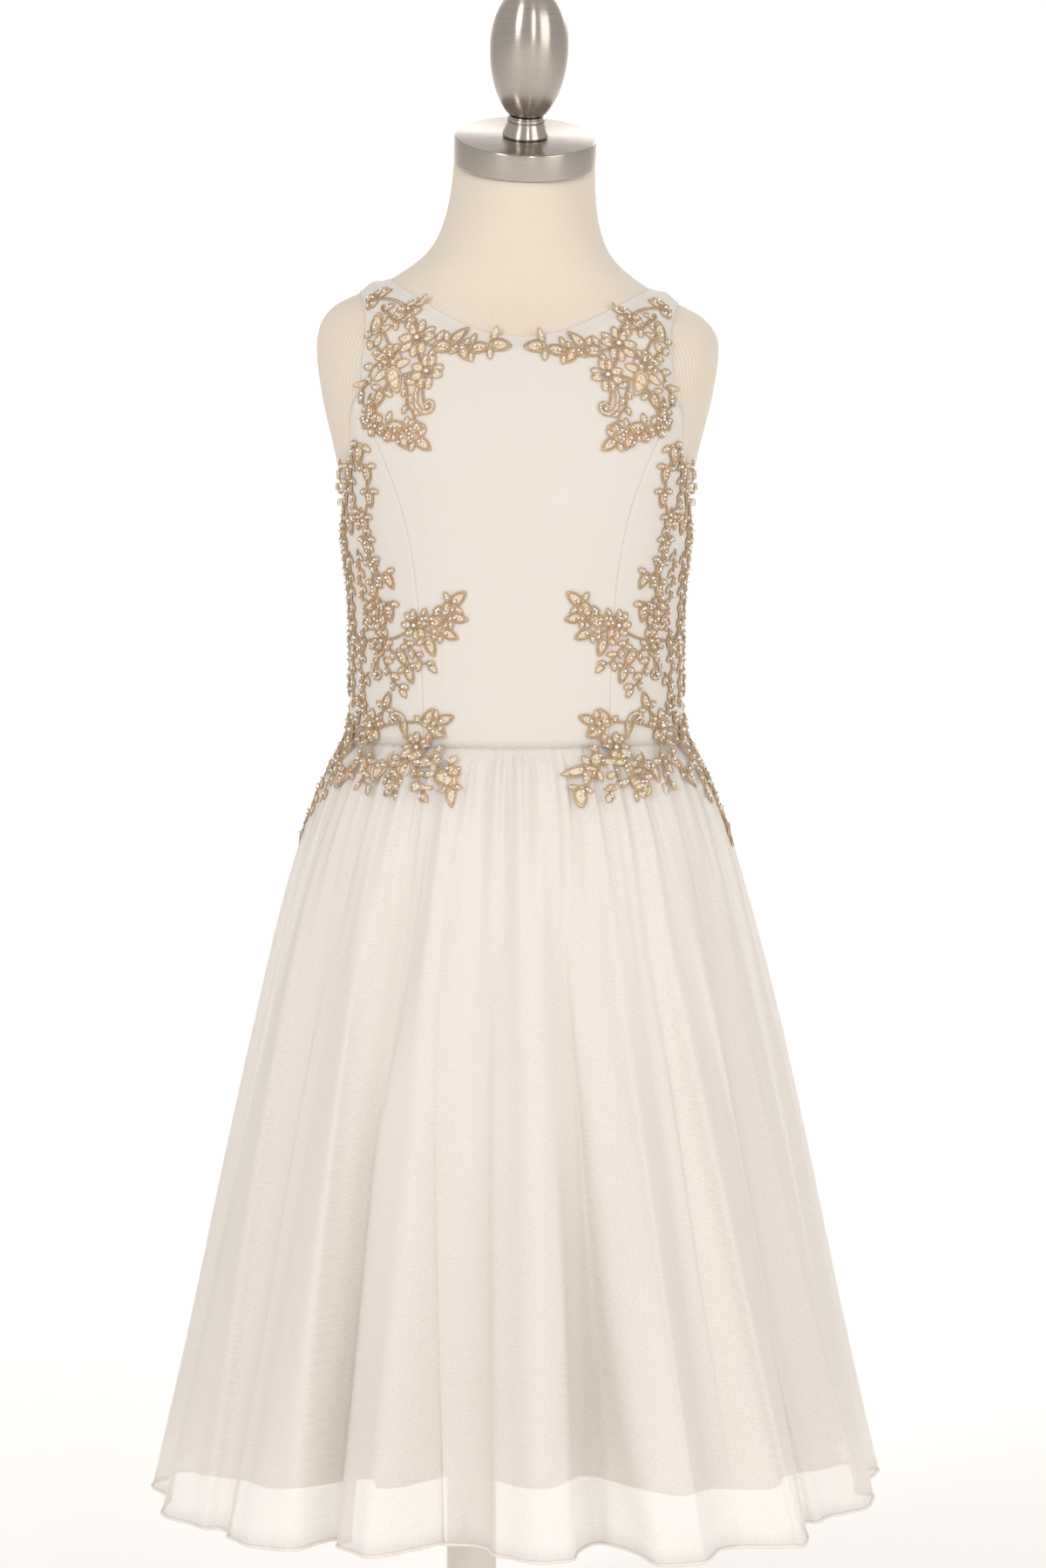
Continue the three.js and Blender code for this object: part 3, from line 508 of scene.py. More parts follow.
def press_edges(obj, depth, reach):
    """Moves a panel's open edge out to meet the next panel, and a little inwards, as a pressed seam goes."""
    points = corners(obj)
    normals = np.array([v.normal[:] for v in obj.data.vertices])
    made = bmesh.new()
    made.from_mesh(obj.data)
    moves = {}
    for v in made.verts:
        within = [e.other_vert(v).co for e in v.link_edges if not e.is_boundary]
        if v.is_boundary and within:
            moves[v.index] = (v.co - sum(within, Vector()) / len(within)).normalized()
    made.free()
    for i, way in moves.items():
        points[i] += np.array(way) * reach - normals[i] * depth
    set_corners(obj, points)


def smooth_sheet(node, name, wall, core):
    """One smooth face of cloth from a wall of the CAD, which is this thick in millimetres."""
    obj = copy_of(node, name)
    open_face(obj, wall * MM, core)
    quads(obj)
    subdivide(obj, 3)
    return obj


# Cut of each panel in metres: width and length of the cloth, and its share of that rectangle
BODICE_CUT = {
    "bodice_front": ("front_bodice", 0.245, 0.325, 0.62),
    "bodice_back_left": ("back_bodice_left", 0.125, 0.325, 0.6),
    "bodice_back_right": ("back_bodice_right", 0.125, 0.325, 0.6),
    "bodice_side_front_left": ("front_side_left", 0.095, 0.25, 0.72),
    "bodice_side_front_right": ("front_side_right", 0.095, 0.25, 0.72),
    "bodice_side_back_left": ("back_side_left", 0.105, 0.25, 0.72),
    "bodice_side_back_right": ("back_side_right", 0.105, 0.25, 0.72),
}


class DRESS_OT_bodice(bpy.types.Operator):
    """Makes the bodice's crepe panels, smooth, with pressed seams"""

    bl_idname = "dress.bodice"
    bl_label = "Bodice"

    def execute(self, context):
        material = crepe_material()
        panels = {node: smooth_sheet(node, cut[0], 1.6, 0.93) for node, cut in BODICE_CUT.items()}
        lay_free_edges(list(panels.values()), 0.0014, 0.012)
        for node, obj in panels.items():
            name, width, length, share = BODICE_CUT[node]
            remember_ground(obj)
            press_edges(obj, 0.0002, 0.00025)
            modify(obj, "SOLIDIFY", thickness=0.0012, offset=-1)
            wrap_uv(obj, 0.12)
            finish_piece(obj, material, [node])
        return {"FINISHED"}


def step(value, low, high):
    """Smooth step from 0 at low to 1 at high."""
    return ease(np.clip((value - low) / (high - low), 0, 1))


def puffs(angle):
    """Rounded crests with narrow creases between them."""
    return 2 * np.abs(np.sin(angle / 2)) ** 0.7 - 1


def skirt_gathers(turn, drop):
    """Share of the gathers' full height at a turn in radians and a drop in millimetres."""
    fine = puffs(72 * turn + 2.3 * np.sin(3 * turn + 1) + 1.2 * np.sin(7 * turn))
    broad = puffs(38 * turn + 1.9 * np.sin(4 * turn + 2) + 0.8 * np.sin(9 * turn + 1))
    long = np.sin(23 * turn + 1.6 * np.sin(5 * turn + 0.5))
    sway = 0.6 + 0.4 * np.sin(11 * turn + 2)
    rise = 0.1 + 0.9 * step(drop, 0, 11)
    return rise * (fine * sway * np.exp(-drop / 34)
                   + 0.9 * broad * np.exp(-((drop - 30) / 55) ** 2)
                   + 0.9 * long * (1 - np.exp(-drop / 60)) * np.exp(-drop / 240))


# Fold edges down the skirt: degrees from the centre front towards the right at the waist and at the hem, the
# drop at which each starts, its height and half width, and how far its crest leans to the right at the hem,
# in millimetres
FOLD_EDGES = [
    (-68, -60, 40, 4.0, 7, 7), (-55, -51, 90, 3.0, 5, -4), (-46, -41, 60, 5.5, 6.5, 11),
    (-30, -31, 120, 5.0, 6.5, -12), (-21, -12.5, 10, 6.0, 6.5, -9), (-6, -3, 70, 2.5, 5, -4),
    (17, 17, 100, 12.0, 22, 0), (-14, -14, 100, 12.0, 22, 0), (-35, -35, 100, 9.0, 16, 0),
    (8, 9, 200, 4.0, 6.5, 4), (17, 25.5, 40, 6.0, 7, -12), (26, 31, 110, 3.0, 5, -4),
    (35, 39, 90, 3.0, 5, 4), (42, 48.5, 35, 5.5, 6.5, -7), (49, 63, 45, 5.0, 6.5, -8),
    (60, 71, 90, 3.5, 6, 5), (76, 79, 90, 4.0, 7, 7), (98, 96, 60, 5.0, 7, 8), (118, 116, 40, 5.5, 6.5, -9),
    (133, 135, 30, 5.0, 6.5, 9), (150, 149, 80, 5.5, 7, -10), (163, 166, 30, 5.0, 6.5, 8),
    (187, 186, 30, 5.5, 6.5, -9), (203, 206, 60, 5.5, 7, 10), (222, 219, 40, 5.0, 6.5, -9),
    (243, 240, 90, 5.5, 7, 9), (264, 265, 50, 4.5, 7, -8), (283, 284, 70, 4.5, 7, 8),
]


def around(points):
    """Turn of each point from the centre front in radians, and its drop below the waist in millimetres."""
    return np.arctan2(points[:, 0], -points[:, 1]), np.maximum(WAIST - points[:, 2] / MM, 0)


def tuck_top(obj, inwards=2.5, up=1.0):
    """Turns a sheet's top in and up by these millimetres, behind the bodice's edge at the waist seam."""
    points = corners(obj)
    turn, drop = around(points)
    tuck = inwards * (1 - step(drop, 0, 12)) * MM
    points[:, 0] -= tuck * np.sin(turn)
    points[:, 1] += tuck * np.cos(turn)
    points[:, 2] += up * (1 - step(drop, 0, 3)) * MM
    set_corners(obj, points)


def shape_skirt(obj):
    """Raises the gathers under the waist and the edges of the folds, which lean over their valleys."""
    points = corners(obj)
    turn, drop = around(points)
    radius = np.hypot(points[:, 0], points[:, 1]) / MM
    out = cloth().gather / MM * skirt_gathers(turn, drop)
    across = np.zeros(len(points))
    for top, foot, start, height, width, lean in FOLD_EDGES:
        line = np.radians(top + (foot - top) * drop / SKIRT_LENGTH)
        away = (turn - line + math.pi) % (2 * math.pi) - math.pi
        near = np.exp(-(away * radius / width) ** 2) * step(drop, start, start + 150)
        out += height * near
        across += lean * near * (0.5 + 0.5 * drop / SKIRT_LENGTH)
    points[:, 0] += (out * np.sin(turn) + across * np.cos(turn)) * MM
    points[:, 1] += (across * np.sin(turn) - out * np.cos(turn)) * MM
    set_corners(obj, points)
    tuck_top(obj)


def lowest_edge(obj, top=0.25, steepest=0.7):
    """Corners of a sheet's open lower edge, in order along it. The edge lies below the top in metres, and
    rises less than the steepest share."""
    made = bmesh.new()
    made.from_mesh(obj.data)
    low = {}
    for edge in made.edges:
        a, b = edge.verts
        rise = abs(a.co.z - b.co.z)
        if edge.is_boundary and max(a.co.z, b.co.z) < top and rise < steepest * edge.calc_length():
            low.setdefault(a, []).append(b)
            low.setdefault(b, []).append(a)
    here = next(v for v, others in low.items() if len(others) == 1)
    path, seen = [here.co.copy()], {here}
    while True:
        ahead = [v for v in low[here] if v not in seen]
        if not ahead:
            break
        here = ahead[0]
        seen.add(here)
        path.append(here.co.copy())
    made.free()
    return path


def cord_mesh(name, paths, radius, closed=()):
    """Round cords along paths of points in metres, as one mesh."""
    curve = bpy.data.curves.new(name, "CURVE")
    curve.dimensions = "3D"
    curve.bevel_depth = radius
    curve.bevel_resolution = 1
    curve.use_fill_caps = True
    for i, path in enumerate(paths):
        spline = curve.splines.new("POLY")
        spline.points.add(len(path) - 1)
        spline.points.foreach_set("co", [c for p in path for c in (*p, 1.0)])
        spline.use_cyclic_u = i in closed
    only(linked(name, curve))
    bpy.ops.object.convert(target="MESH")
    return bpy.context.object


# Cut of the skirt's panels in metres: width across the hem, length, and the share that the flare leaves
SKIRT_CUT = {
    "front": (1.02, 0.53, 0.78),
    "back_left": (0.54, 0.53, 0.78),
    "back_right": (0.54, 0.53, 0.78),
}


class DRESS_OT_skirt(bpy.types.Operator):
    """Makes the gathered chiffon skirt with its rolled hem"""

    bl_idname = "dress.skirt"
    bl_label = "Skirt"

    def execute(self, context):
        material, rolled = chiffon_material(), hem_material()
        for panel, (width, length, share) in SKIRT_CUT.items():
            obj = smooth_sheet(f"skirt_{panel}", f"chiffon_{panel}", 1.2, 2)
            remember_ground(obj)
            shape_skirt(obj)
            press_edges(obj, 0, 0.00025)
            hem = cord_mesh(f"rolled_hem_{panel}", [lowest_edge(obj)], cloth().hem)
            modify(obj, "SOLIDIFY", thickness=0.0004, offset=-1)
            wrap_uv(obj, 0.18)
            finish_piece(obj, material, [f"skirt_{panel}"])
            finish_piece(hem, rolled)
        return {"FINISHED"}


# Cut of the lining's panels, in the same way
LINING_CUT = {
    "front": (0.86, 0.48, 0.78),
    "back_left": (0.45, 0.48, 0.78),
    "back_right": (0.45, 0.48, 0.78),
}


class DRESS_OT_lining(bpy.types.Operator):
    """Makes the skirt's lining, which shows through the chiffon down to its own hem"""

    bl_idname = "dress.lining"
    bl_label = "Lining"

    def execute(self, context):
        material = lining_material()
        for panel, (width, length, share) in LINING_CUT.items():
            obj = smooth_sheet(f"lining_{panel}", f"under_{panel}", 1.0, 2)
            tuck_top(obj)
            modify(obj, "SOLIDIFY", thickness=0.0006, offset=-1)
            wrap_uv(obj, 0.18)
            finish_piece(obj, material, [f"lining_{panel}"])
        return {"FINISHED"}


# Lace

# Motifs of each spray, alike on both sides: kind, angle in degrees outwards from the centre front, height
# above the waist in millimetres, size in millimetres, the way it points and the row that it grows from
SPRAYS = {
    "shoulder": [
        ("flower", 46, 267, 24, 0, 0), ("flower", 39, 246, 23, 20, 0), ("flower", 54, 285, 16, 0, 0),
        ("flower", 69, 292, 14, 0, 2), ("flower", 53, 256, 16, 0, 0), ("leaf", 62, 276, 15, 70, 4),
        ("leaf", 35, 262, 15, 190, 0), ("leaf", 30, 269, 14, 130, 6), ("leaf", 26, 259, 13, 235, 6),
        ("leaf", 19, 262, 14, 175, 6), ("leaf", 9, 264, 15, 185, 9), ("leaf", 50, 241, 20, 240, 1),
        ("leaf", 54, 229, 14, 290, 11), ("leaf", 57, 221, 13, 80, 12), ("scroll", 38, 226, 21, 5, 1),
        ("flower", 54, 211, 16, 0, 12), ("leaf", 47, 211, 15, 180, 15), ("leaf", 40, 210, 14, 165, 16),
        ("leaf", 44, 202, 13, 245, 16), ("leaf", 37, 200, 14, 215, 17),
    ],
    "side": [
        ("leaf", 61, 193, 15, 285, 0), ("leaf", 68, 180, 14, 275, 0), ("leaf", 58, 180, 13, 262, 0),
        ("leaf", 73, 164, 13, 275, 1), ("leaf", 58, 164, 13, 268, 2), ("leaf", 71, 146, 14, 265, 3),
        ("leaf", 62, 147, 13, 270, 4), ("leaf", 62, 132, 14, 270, 6), ("leaf", 60, 118, 13, 255, 7),
        ("leaf", 53, 110, 13, 240, 8), ("leaf", 61, 103, 13, 280, 8), ("flower", 58, 70, 17, 0, 13),
        ("flower", 43, 81, 21, 0, 11), ("leaf", 54, 89, 14, 265, 10), ("leaf", 64, 92, 13, 340, 13),
        ("leaf", 34, 84, 14, 150, 12), ("leaf", 30, 92, 13, 110, 15), ("leaf", 25, 99, 14, 140, 16),
        ("leaf", 25, 86, 13, 190, 15), ("leaf", 29, 75, 13, 205, 12), ("leaf", 37, 67, 14, 250, 12),
        ("leaf", 49, 59, 14, 235, 11), ("leaf", 46, 48, 13, 250, 21), ("scroll", 61, 51, 20, 60, 11),
        ("leaf", 72, 65, 14, 20, 11), ("leaf", 81, 79, 13, 60, 24), ("leaf", 84, 128, 14, 285, 5),
        ("leaf", 94, 112, 14, 290, 26), ("leaf", 82, 108, 13, 255, 26), ("flower", 96, 88, 15, 0, 27),
        ("leaf", 108, 80, 14, 330, 29), ("leaf", 88, 66, 14, 250, 29),
    ],
    "hip": [
        ("flower", 63, 13, 23, 0, 0), ("scroll", 51, 17, 19, 180, 0), ("flower", 42, 0, 21, 0, 1),
        ("leaf", 38, 20, 14, 120, 1), ("leaf", 31, 19, 13, 160, 3), ("leaf", 34, 10, 13, 200, 2),
        ("leaf", 32, -8, 14, 215, 2), ("leaf", 25, -15, 13, 200, 6), ("leaf", 27, -20, 13, 250, 6),
        ("leaf", 24, -31, 14, 262, 8), ("leaf", 43, -16, 14, 262, 2), ("leaf", 46, -26, 13, 285, 10),
        ("leaf", 53, -17, 15, 275, 0), ("leaf", 64, -13, 14, 305, 0), ("leaf", 68, -24, 13, 290, 13),
        ("leaf", 79, 2, 15, 345, 0), ("leaf", 56, 30, 13, 110, 0), ("leaf", 72, 26, 14, 50, 0),
        ("leaf", 82, -16, 14, 300, 15), ("leaf", 88, -34, 14, 285, 18), ("leaf", 88, -51, 14, 275, 19),
        ("leaf", 90, -67, 14, 285, 20), ("leaf", 92, 8, 15, 0, 15), ("leaf", 105, 0, 14, 330, 22),
    ],
}


# Garlands between the motifs: the angle and height of each end, and the size of their leaves in millimetres
GARLANDS = {
    "shoulder": [
        (52, 262, 61, 232, 8), (46, 244, 40, 214, 8), (57, 232, 58, 216, 8), (60, 214, 42, 204, 8),
        (64, 288, 52, 276, 8), (52, 248, 60, 262, 8),
    ],
    "side": [
        (64, 200, 66, 150, 8), (71, 190, 78, 130, 8), (63, 158, 58, 112, 8), (78, 160, 84, 96, 8),
        (68, 130, 66, 84, 8), (75, 128, 76, 70, 8), (86, 150, 92, 96, 8), (92, 128, 98, 60, 8),
        (84, 92, 88, 38, 8), (76, 76, 78, 30, 8), (68, 84, 70, 40, 8), (58, 98, 62, 62, 8),
        (52, 96, 60, 82, 8), (48, 72, 38, 54, 8), (58, 60, 50, 38, 8), (66, 48, 72, 18, 8),
        (98, 74, 104, 30, 8), (90, 46, 96, 12, 8), (104, 96, 112, 50, 8), (46, 84, 34, 90, 7),
    ],
    "hip": [
        (66, 26, 78, 10, 8), (58, 22, 66, 4, 8), (70, 8, 76, -18, 8), (82, 18, 92, -8, 8),
        (94, 20, 100, -16, 8), (60, -2, 56, -26, 8), (50, -4, 44, -30, 7), (72, -10, 76, -34, 8),
        (84, -4, 84, -44, 8), (92, -12, 93, -58, 8), (40, -6, 34, -30, 7), (104, 10, 110, -20, 8),
    ],
}


def leaned(x, y, z):
    """Point moved as the solids lean to the right from the chest up, in millimetres."""
    full = LEAN_FULL - LEAN_FROM
    share = min(max((z - LEAN_FROM) / full, 0), 1)
    shift = LEAN * (full * (share ** 3 - share ** 4 / 2) + max(z - LEAN_FULL, 0))
    return Vector((x + shift, y, z - LEAN * ease(share) * x))


# Rays that find the ground start this far from the axis and run this far towards it, at the height that the
# lean gives this far out; in millimetres
RAY_START, RAY_LENGTH, RAY_ARM = 400, 380, 110

# A ray that misses the cloth is turned by this angle in radians, one way and the other. The last ray meets
# the form instead, where the lace lies this many millimetres higher.
RAY_TURN = 0.006
OVER_FORM = 4.5


class Ground:
    """The smooth cloth under the lace, and the form past the cloth's edges."""

    def __init__(self):
        self.cloth = BVHTree.FromPolygons(*GROUND["cloth"])
        self.form = BVHTree.FromPolygons(*GROUND["form"])

    def point(self, turn, height, out):
        """Point in metres over the cloth, out millimetres from it, and the cloth's normal there."""
        z = WAIST + height
        # The lace rides on the gathers: 2 mm up at the waist, none from 18 mm above it, 1 mm far below it
        gathers = min(max((18 - height) / 18, 0), 1) if height > 0 else 1
        lift = 2.0 * gathers * (1 if height > -20 else max(0.5, 1 + (height + 20) / 60))
        for tree, nudge, more in ((self.cloth, 0, 0), (self.cloth, RAY_TURN, 0), (self.cloth, -RAY_TURN, 0),
                                  (self.form, 0, OVER_FORM)):
            way = turn + nudge
            start = leaned(RAY_START * math.sin(way), -RAY_START * math.cos(way), z) * MM
            start.z = leaned(RAY_ARM * math.sin(turn), 0, z).z * MM
            end = leaned(0, 0, z) * MM
            end.z = start.z
            spot, normal, _, _ = tree.ray_cast(start, (end - start).normalized(), RAY_LENGTH * MM)
            if spot:
                normal = -normal if normal.dot(end - start) > 0 else normal
                return spot + normal * (out + lift + more) * MM, normal
        raise RuntimeError(f"no cloth under the lace at {math.degrees(turn):.1f}, {height:.1f}")


def almond(size, wide, scale=1.0, count=14):
    """Outline of a leaf that points along +X: round at its foot and pointed at its tip."""
    path = []
    for i in range(count):
        t = 2 * math.pi * (i + 0.5) / count
        across = 1.15 * scale * wide * math.sin(t) * math.sin(t / 2) ** 0.5
        path.append((scale * size / 2 * math.cos(t), across))
    return path


def leaf_parts(size):
    """Cords, filling and beads of a leaf that points along +X, in millimetres."""
    wide = 0.27 * size
    return {
        "loops": [almond(size, wide), almond(size, wide, 0.72, 10)],
        "lines": [],
        "fills": [almond(size, wide, 0.95, 10)],
        "beads": [(-0.2 * size, 0, 1.15), (0, 0.1, 0.95), (0.19 * size, 0, 0.7)],
    }


def bud_parts(size):
    """Cord, filling and bead of a small leaf, in millimetres."""
    return {
        "loops": [almond(size, 0.3 * size, 1.0, 10)],
        "lines": [],
        "fills": [almond(size, 0.3 * size, 0.92, 8)],
        "beads": [(-0.08 * size, 0, 1.05)],
    }


def flower_parts(size):
    """Cords, petals and beads of a flower, in millimetres."""
    count = 8 if size > 18 else 6 if size > 14.5 else 5
    reach = 0.33 * size
    parts = {"loops": [], "lines": [], "fills": [], "beads": [(0, 0, 0.075 * size)]}
    for k in range(count):
        way = 2 * math.pi * (k + 0.2 * math.sin(2.7 * k)) / count
        c, s = math.cos(way), math.sin(way)
        wide = 1.04 * reach * math.sin(math.pi / count)
        petal = [(reach + 0.17 * size * math.cos(t), 0.92 * wide * math.sin(t) * (1 - 0.25 * math.cos(t)))
                 for t in (2 * math.pi * (i + 0.5) / 10 for i in range(10))]
        petal = [(x * c - y * s, x * s + y * c) for x, y in petal]
        parts["loops"].append(petal)
        parts["fills"].append([(0.94 * x + 0.06 * reach * c, 0.94 * y + 0.06 * reach * s) for x, y in petal])
        parts["lines"].append([(0.1 * size * c, 0.1 * size * s), (0.17 * size * c, 0.17 * size * s)])
        parts["beads"].append((1.06 * reach * c, 1.06 * reach * s, 1.15 if size > 18 else 0.95))
    ring = [(0.1 * size * math.cos(2 * math.pi * i / 10), 0.1 * size * math.sin(2 * math.pi * i / 10))
            for i in range(10)]
    parts["loops"].append(ring)
    return parts


def scroll_parts(size):
    """Cords, filled band and beads of a curled scroll, in millimetres."""
    # The stalk runs down and curls in towards the centre front, tighter and tighter
    steps, curl = 24, math.radians(470)
    middle, heading = [Vector((0, 0))], []
    for i in range(steps):
        f = i / (steps - 1)
        way = -math.pi / 2 - curl * f * f
        pace = 0.118 * size * (1 - 0.6 * f)
        heading.append(way)
        middle.append(middle[-1] + pace * Vector((math.cos(way), math.sin(way))))
    centre = sum(middle, Vector((0, 0))) / len(middle)
    middle = [p - centre for p in middle[:-1]]
    outer, inner = [], []
    for i, (p, way) in enumerate(zip(middle, heading)):
        band = 1.5 * (1 - 0.3 * i / (steps - 1)) * min(1, 0.4 + i / 6)
        side = band * Vector((-math.sin(way), math.cos(way)))
        outer.append(tuple(p + side))
        inner.append(tuple(p - side))
    return {
        "loops": [],
        "lines": [outer, inner],
        "bands": [(outer, inner)],
        "fills": [],
        "beads": [(*middle[i], 0.75) for i in range(3, 22, 3)] + [(*middle[-1], 1.2)],
    }


MOTIFS = {"leaf": leaf_parts, "flower": flower_parts, "scroll": scroll_parts, "bud": bud_parts}


class Spray:
    """One spray of lace on one side, gathered as paths, filled patches and beads in metres."""

    def __init__(self, ground, side):
        self.ground, self.side = ground, side
        self.loops, self.lines, self.points, self.faces, self.beads = [], [], [], [], []

    def put(self, turn, height, out):
        return self.ground.point(self.side * turn, height, out)

    def reach(self, turn, height):
        """Millimetres of cloth across one radian here."""
        a, _ = self.put(turn, height, 0)
        b, _ = self.put(turn + 0.02, height, 0)
        return max((a - b).length / MM / 0.02, 20)

    def span(self, start, end):
        """Millimetres across one radian halfway, and the way from start to end in millimetres."""
        reach = self.reach((start[0] + end[0]) / 2, (start[1] + end[1]) / 2)
        return reach, Vector(((end[0] - start[0]) * reach, end[1] - start[1]))

    def motif(self, kind, turn, height, size, tilt):
        """One motif laid on the cloth, its own +X turned by the tilt."""
        reach = self.reach(turn, height)
        c, s = math.cos(tilt), math.sin(tilt)

        def at(p, out):
            x, y = p[0] * c - p[1] * s, p[0] * s + p[1] * c
            return self.put(turn + x / reach, height + y, out)

        parts = MOTIFS[kind](size)
        self.loops += [[at(p, 1.1)[0] for p in loop] for loop in parts["loops"]]
        self.lines += [[at(p, 1.2)[0] for p in line] for line in parts["lines"]]
        for loop in parts["fills"]:
            self.patch(loop, at)
        for outer, inner in parts.get("bands", []):
            self.band(outer, inner, at)
        for x, y, radius in parts["beads"]:
            spot, normal = at((x, y), 1.0 + radius)
            self.beads.append((spot, normal, radius * MM))

    def patch(self, loop, at):
        """Low dome of stitches inside a loop."""
        first, count = len(self.points), len(loop)
        cx, cy = sum(p[0] for p in loop) / count, sum(p[1] for p in loop) / count
        # Share of the loop's size and height over the cloth of the dome's rim and of its shoulder
        for scale, out in ((1.0, 0.45), (0.55, 1.0)):
            for p in loop:
                spot, _ = at((cx + scale * (p[0] - cx), cy + scale * (p[1] - cy)), out)
                self.points.append(spot)
        self.points.append(at((cx, cy), 1.1)[0])
        for i in range(count):
            j = (i + 1) % count
            self.faces.append(self.facing([first + i, first + j, first + count + j, first + count + i]))
            self.faces.append(self.facing([first + count + i, first + count + j, first + 2 * count]))

    def facing(self, face):
        return face if self.side > 0 else face[::-1]

    def band(self, outer, inner, at):
        """Low filled band between two paths."""
        first = len(self.points)
        for a, b in zip(outer, inner):
            self.points += [at(a, 0.5)[0], at(((a[0] + b[0]) / 2, (a[1] + b[1]) / 2), 1.1)[0], at(b, 0.5)[0]]
        for i in range(len(outer) - 1):
            for k in (0, 1):
                a = first + 3 * i + k
                self.faces.append(self.facing([a, a + 3, a + 4, a + 1]))

    def stem(self, start, end):
        """Two cords side by side from one motif to the next, unless they are less than a pace apart."""
        reach, along = self.span(start, end)
        pace = 3
        if along.length < pace:
            return
        across = Vector((-along.y, along.x)).normalized()
        steps = max(3, int(along.length / pace))
        for offset in (-0.55, 0.55):
            path = []
            for i in range(steps + 1):
                f = i / steps
                bow = math.sin(math.pi * f) * 0.08 * along.length
                q = along * f + across * (offset + bow)
                path.append(self.put(start[0] + q.x / reach, start[1] + q.y, 0.9)[0])
            self.lines.append(path)

    def garland(self, start, end, size):
        """Two waving cords with small leaves to either side, and one at the tip."""
        reach, along = self.span(start, end)
        length, way = along.length, math.atan2(along.y, along.x)
        ahead, aside = along.normalized(), Vector((-along.y, along.x)).normalized()

        def spot(far, off):
            wave, bow = 0.9 * math.sin(far * 0.42), 0.07 * length * math.sin(math.pi * far / length)
            q = ahead * far + aside * (off + wave + bow)
            return start[0] + q.x / reach, start[1] + q.y

        steps = int(length / 2.5)
        for off in (-0.5, 0.5):
            self.lines.append([self.put(*spot(length * i / steps, off), 0.8)[0] for i in range(steps + 1)])
        count = max(2, int(length / (0.62 * size)))
        for k in range(count):
            sign = 1 if k % 2 else -1
            far = length * (k + 0.6) / count
            lean = way + sign * (0.75 + 0.2 * math.sin(5 * k + length))
            root = spot(far, 0.4 * sign)
            grown = size * (0.85 + 0.15 * math.sin(3 * k + length))
            self.motif("bud", root[0] + 0.5 * grown * math.cos(lean) / reach,
                       root[1] + 0.5 * grown * math.sin(lean), grown, lean)
        tip = spot(length + 0.4 * size, 0)
        self.motif("bud", *tip, size, way)

    def grow(self, rows):
        """All motifs, each with a stem from the one that it grows from, and small leaves beside each leaf."""
        for kind, turn, height, size, tilt, source in rows:
            root = rows[source]
            here, there = (math.radians(turn), height), (math.radians(root[1]), root[2])
            self.stem(there, here)
            self.motif(kind, *here, size, math.radians(tilt))
            if kind != "leaf":
                continue
            reach = self.reach(*here)
            way = math.radians(tilt)
            for sign in (-1, 1):
                aside = way + sign * 1.35
                x = -0.45 * size * math.cos(way) + 0.42 * size * math.cos(aside)
                y = -0.45 * size * math.sin(way) + 0.42 * size * math.sin(aside)
                self.motif("bud", here[0] + x / reach, here[1] + y, 0.5 * size, aside)


def bead_mesh(name, beads):
    """Beads copied from one small sphere, joined as one mesh."""
    bpy.ops.object.select_all(action="DESELECT")
    bpy.ops.mesh.primitive_uv_sphere_add(segments=8, ring_count=5, radius=1)
    pattern = bpy.context.object
    shape = corners(pattern)
    faces = [list(face.vertices) for face in pattern.data.polygons]
    bpy.data.objects.remove(pattern)
    points, rings = [], []
    for spot, normal, radius in beads:
        turned = np.array(normal.to_track_quat("Z", "Y").to_matrix())
        first = len(points) * len(shape)
        points.append(shape @ turned.T * radius + np.array(spot))
        rings += [[first + i for i in face] for face in faces]
    return new_mesh(name, np.concatenate(points), rings)


class DRESS_OT_lace(bpy.types.Operator):
    """Makes the corded and beaded lace: shoulder, side and hip sprays on both sides"""

    bl_idname = "dress.lace"
    bl_label = "Lace"

    def execute(self, context):
        ground = Ground()
        cord, fill, glass = cord_material(), fill_material(), bead_material()
        for name, rows in SPRAYS.items():
            for side, sign in SIDES.items():
                spray = Spray(ground, sign)
                spray.grow(rows)
                for turn, height, far_turn, far_height, size in GARLANDS[name]:
                    spray.garland((math.radians(turn), height), (math.radians(far_turn), far_height), size)
                paths = spray.loops + spray.lines
                cords = cord_mesh(f"{name}_cord_{side}", paths, lace().cord, closed=range(len(spray.loops)))
                finish_piece(cords, cord, [f"lace_{name}_{side}"])
                stitched = new_mesh(f"{name}_stitch_{side}", spray.points, spray.faces)
                finish_piece(stitched, fill)
                finish_piece(bead_mesh(f"{name}_beads_{side}", spray.beads), glass)
        return {"FINISHED"}


# Form, metal and zip


class DRESS_OT_form(bpy.types.Operator):
    """Makes the jersey-covered form smooth"""

    bl_idname = "dress.form"
    bl_label = "Form"

    def execute(self, context):
        obj = copy_of("form_torso", "form_body")
        made = bmesh.new()
        made.from_mesh(obj.data)
        low = min(v.co.z for v in made.verts)
        # The foot and the neck's top, both flat, become one face each with a sharp rim
        neck = 1.07
        for ends in ([f for f in made.faces if all(v.co.z < low + 1e-4 for v in f.verts)],
                     [f for f in made.faces if f.normal.z > 0.8 and all(v.co.z > neck for v in f.verts)]):
            bmesh.ops.dissolve_faces(made, faces=ends)
        crease = made.edges.layers.float.new("crease_edge")
        for edge in made.edges:
            if any(len(f.verts) > 4 for f in edge.link_faces):
                edge[crease] = 1
        made.to_mesh(obj.data)
        made.free()
        quads(obj)
        subdivide(obj, 2)
        remember_ground(obj, "form")
        wrap_uv(obj, 0.1)
        finish_piece(obj, jersey_material(), ["form_torso"])
        return {"FINISHED"}


# The neck cap stands on the neck's slope, which also leans to the front by this angle; its foot's middle is
# here on the upright form, in millimetres
NECK_SLOPE = math.radians(19)
CAP_FOOT = (0, -14, 1098)


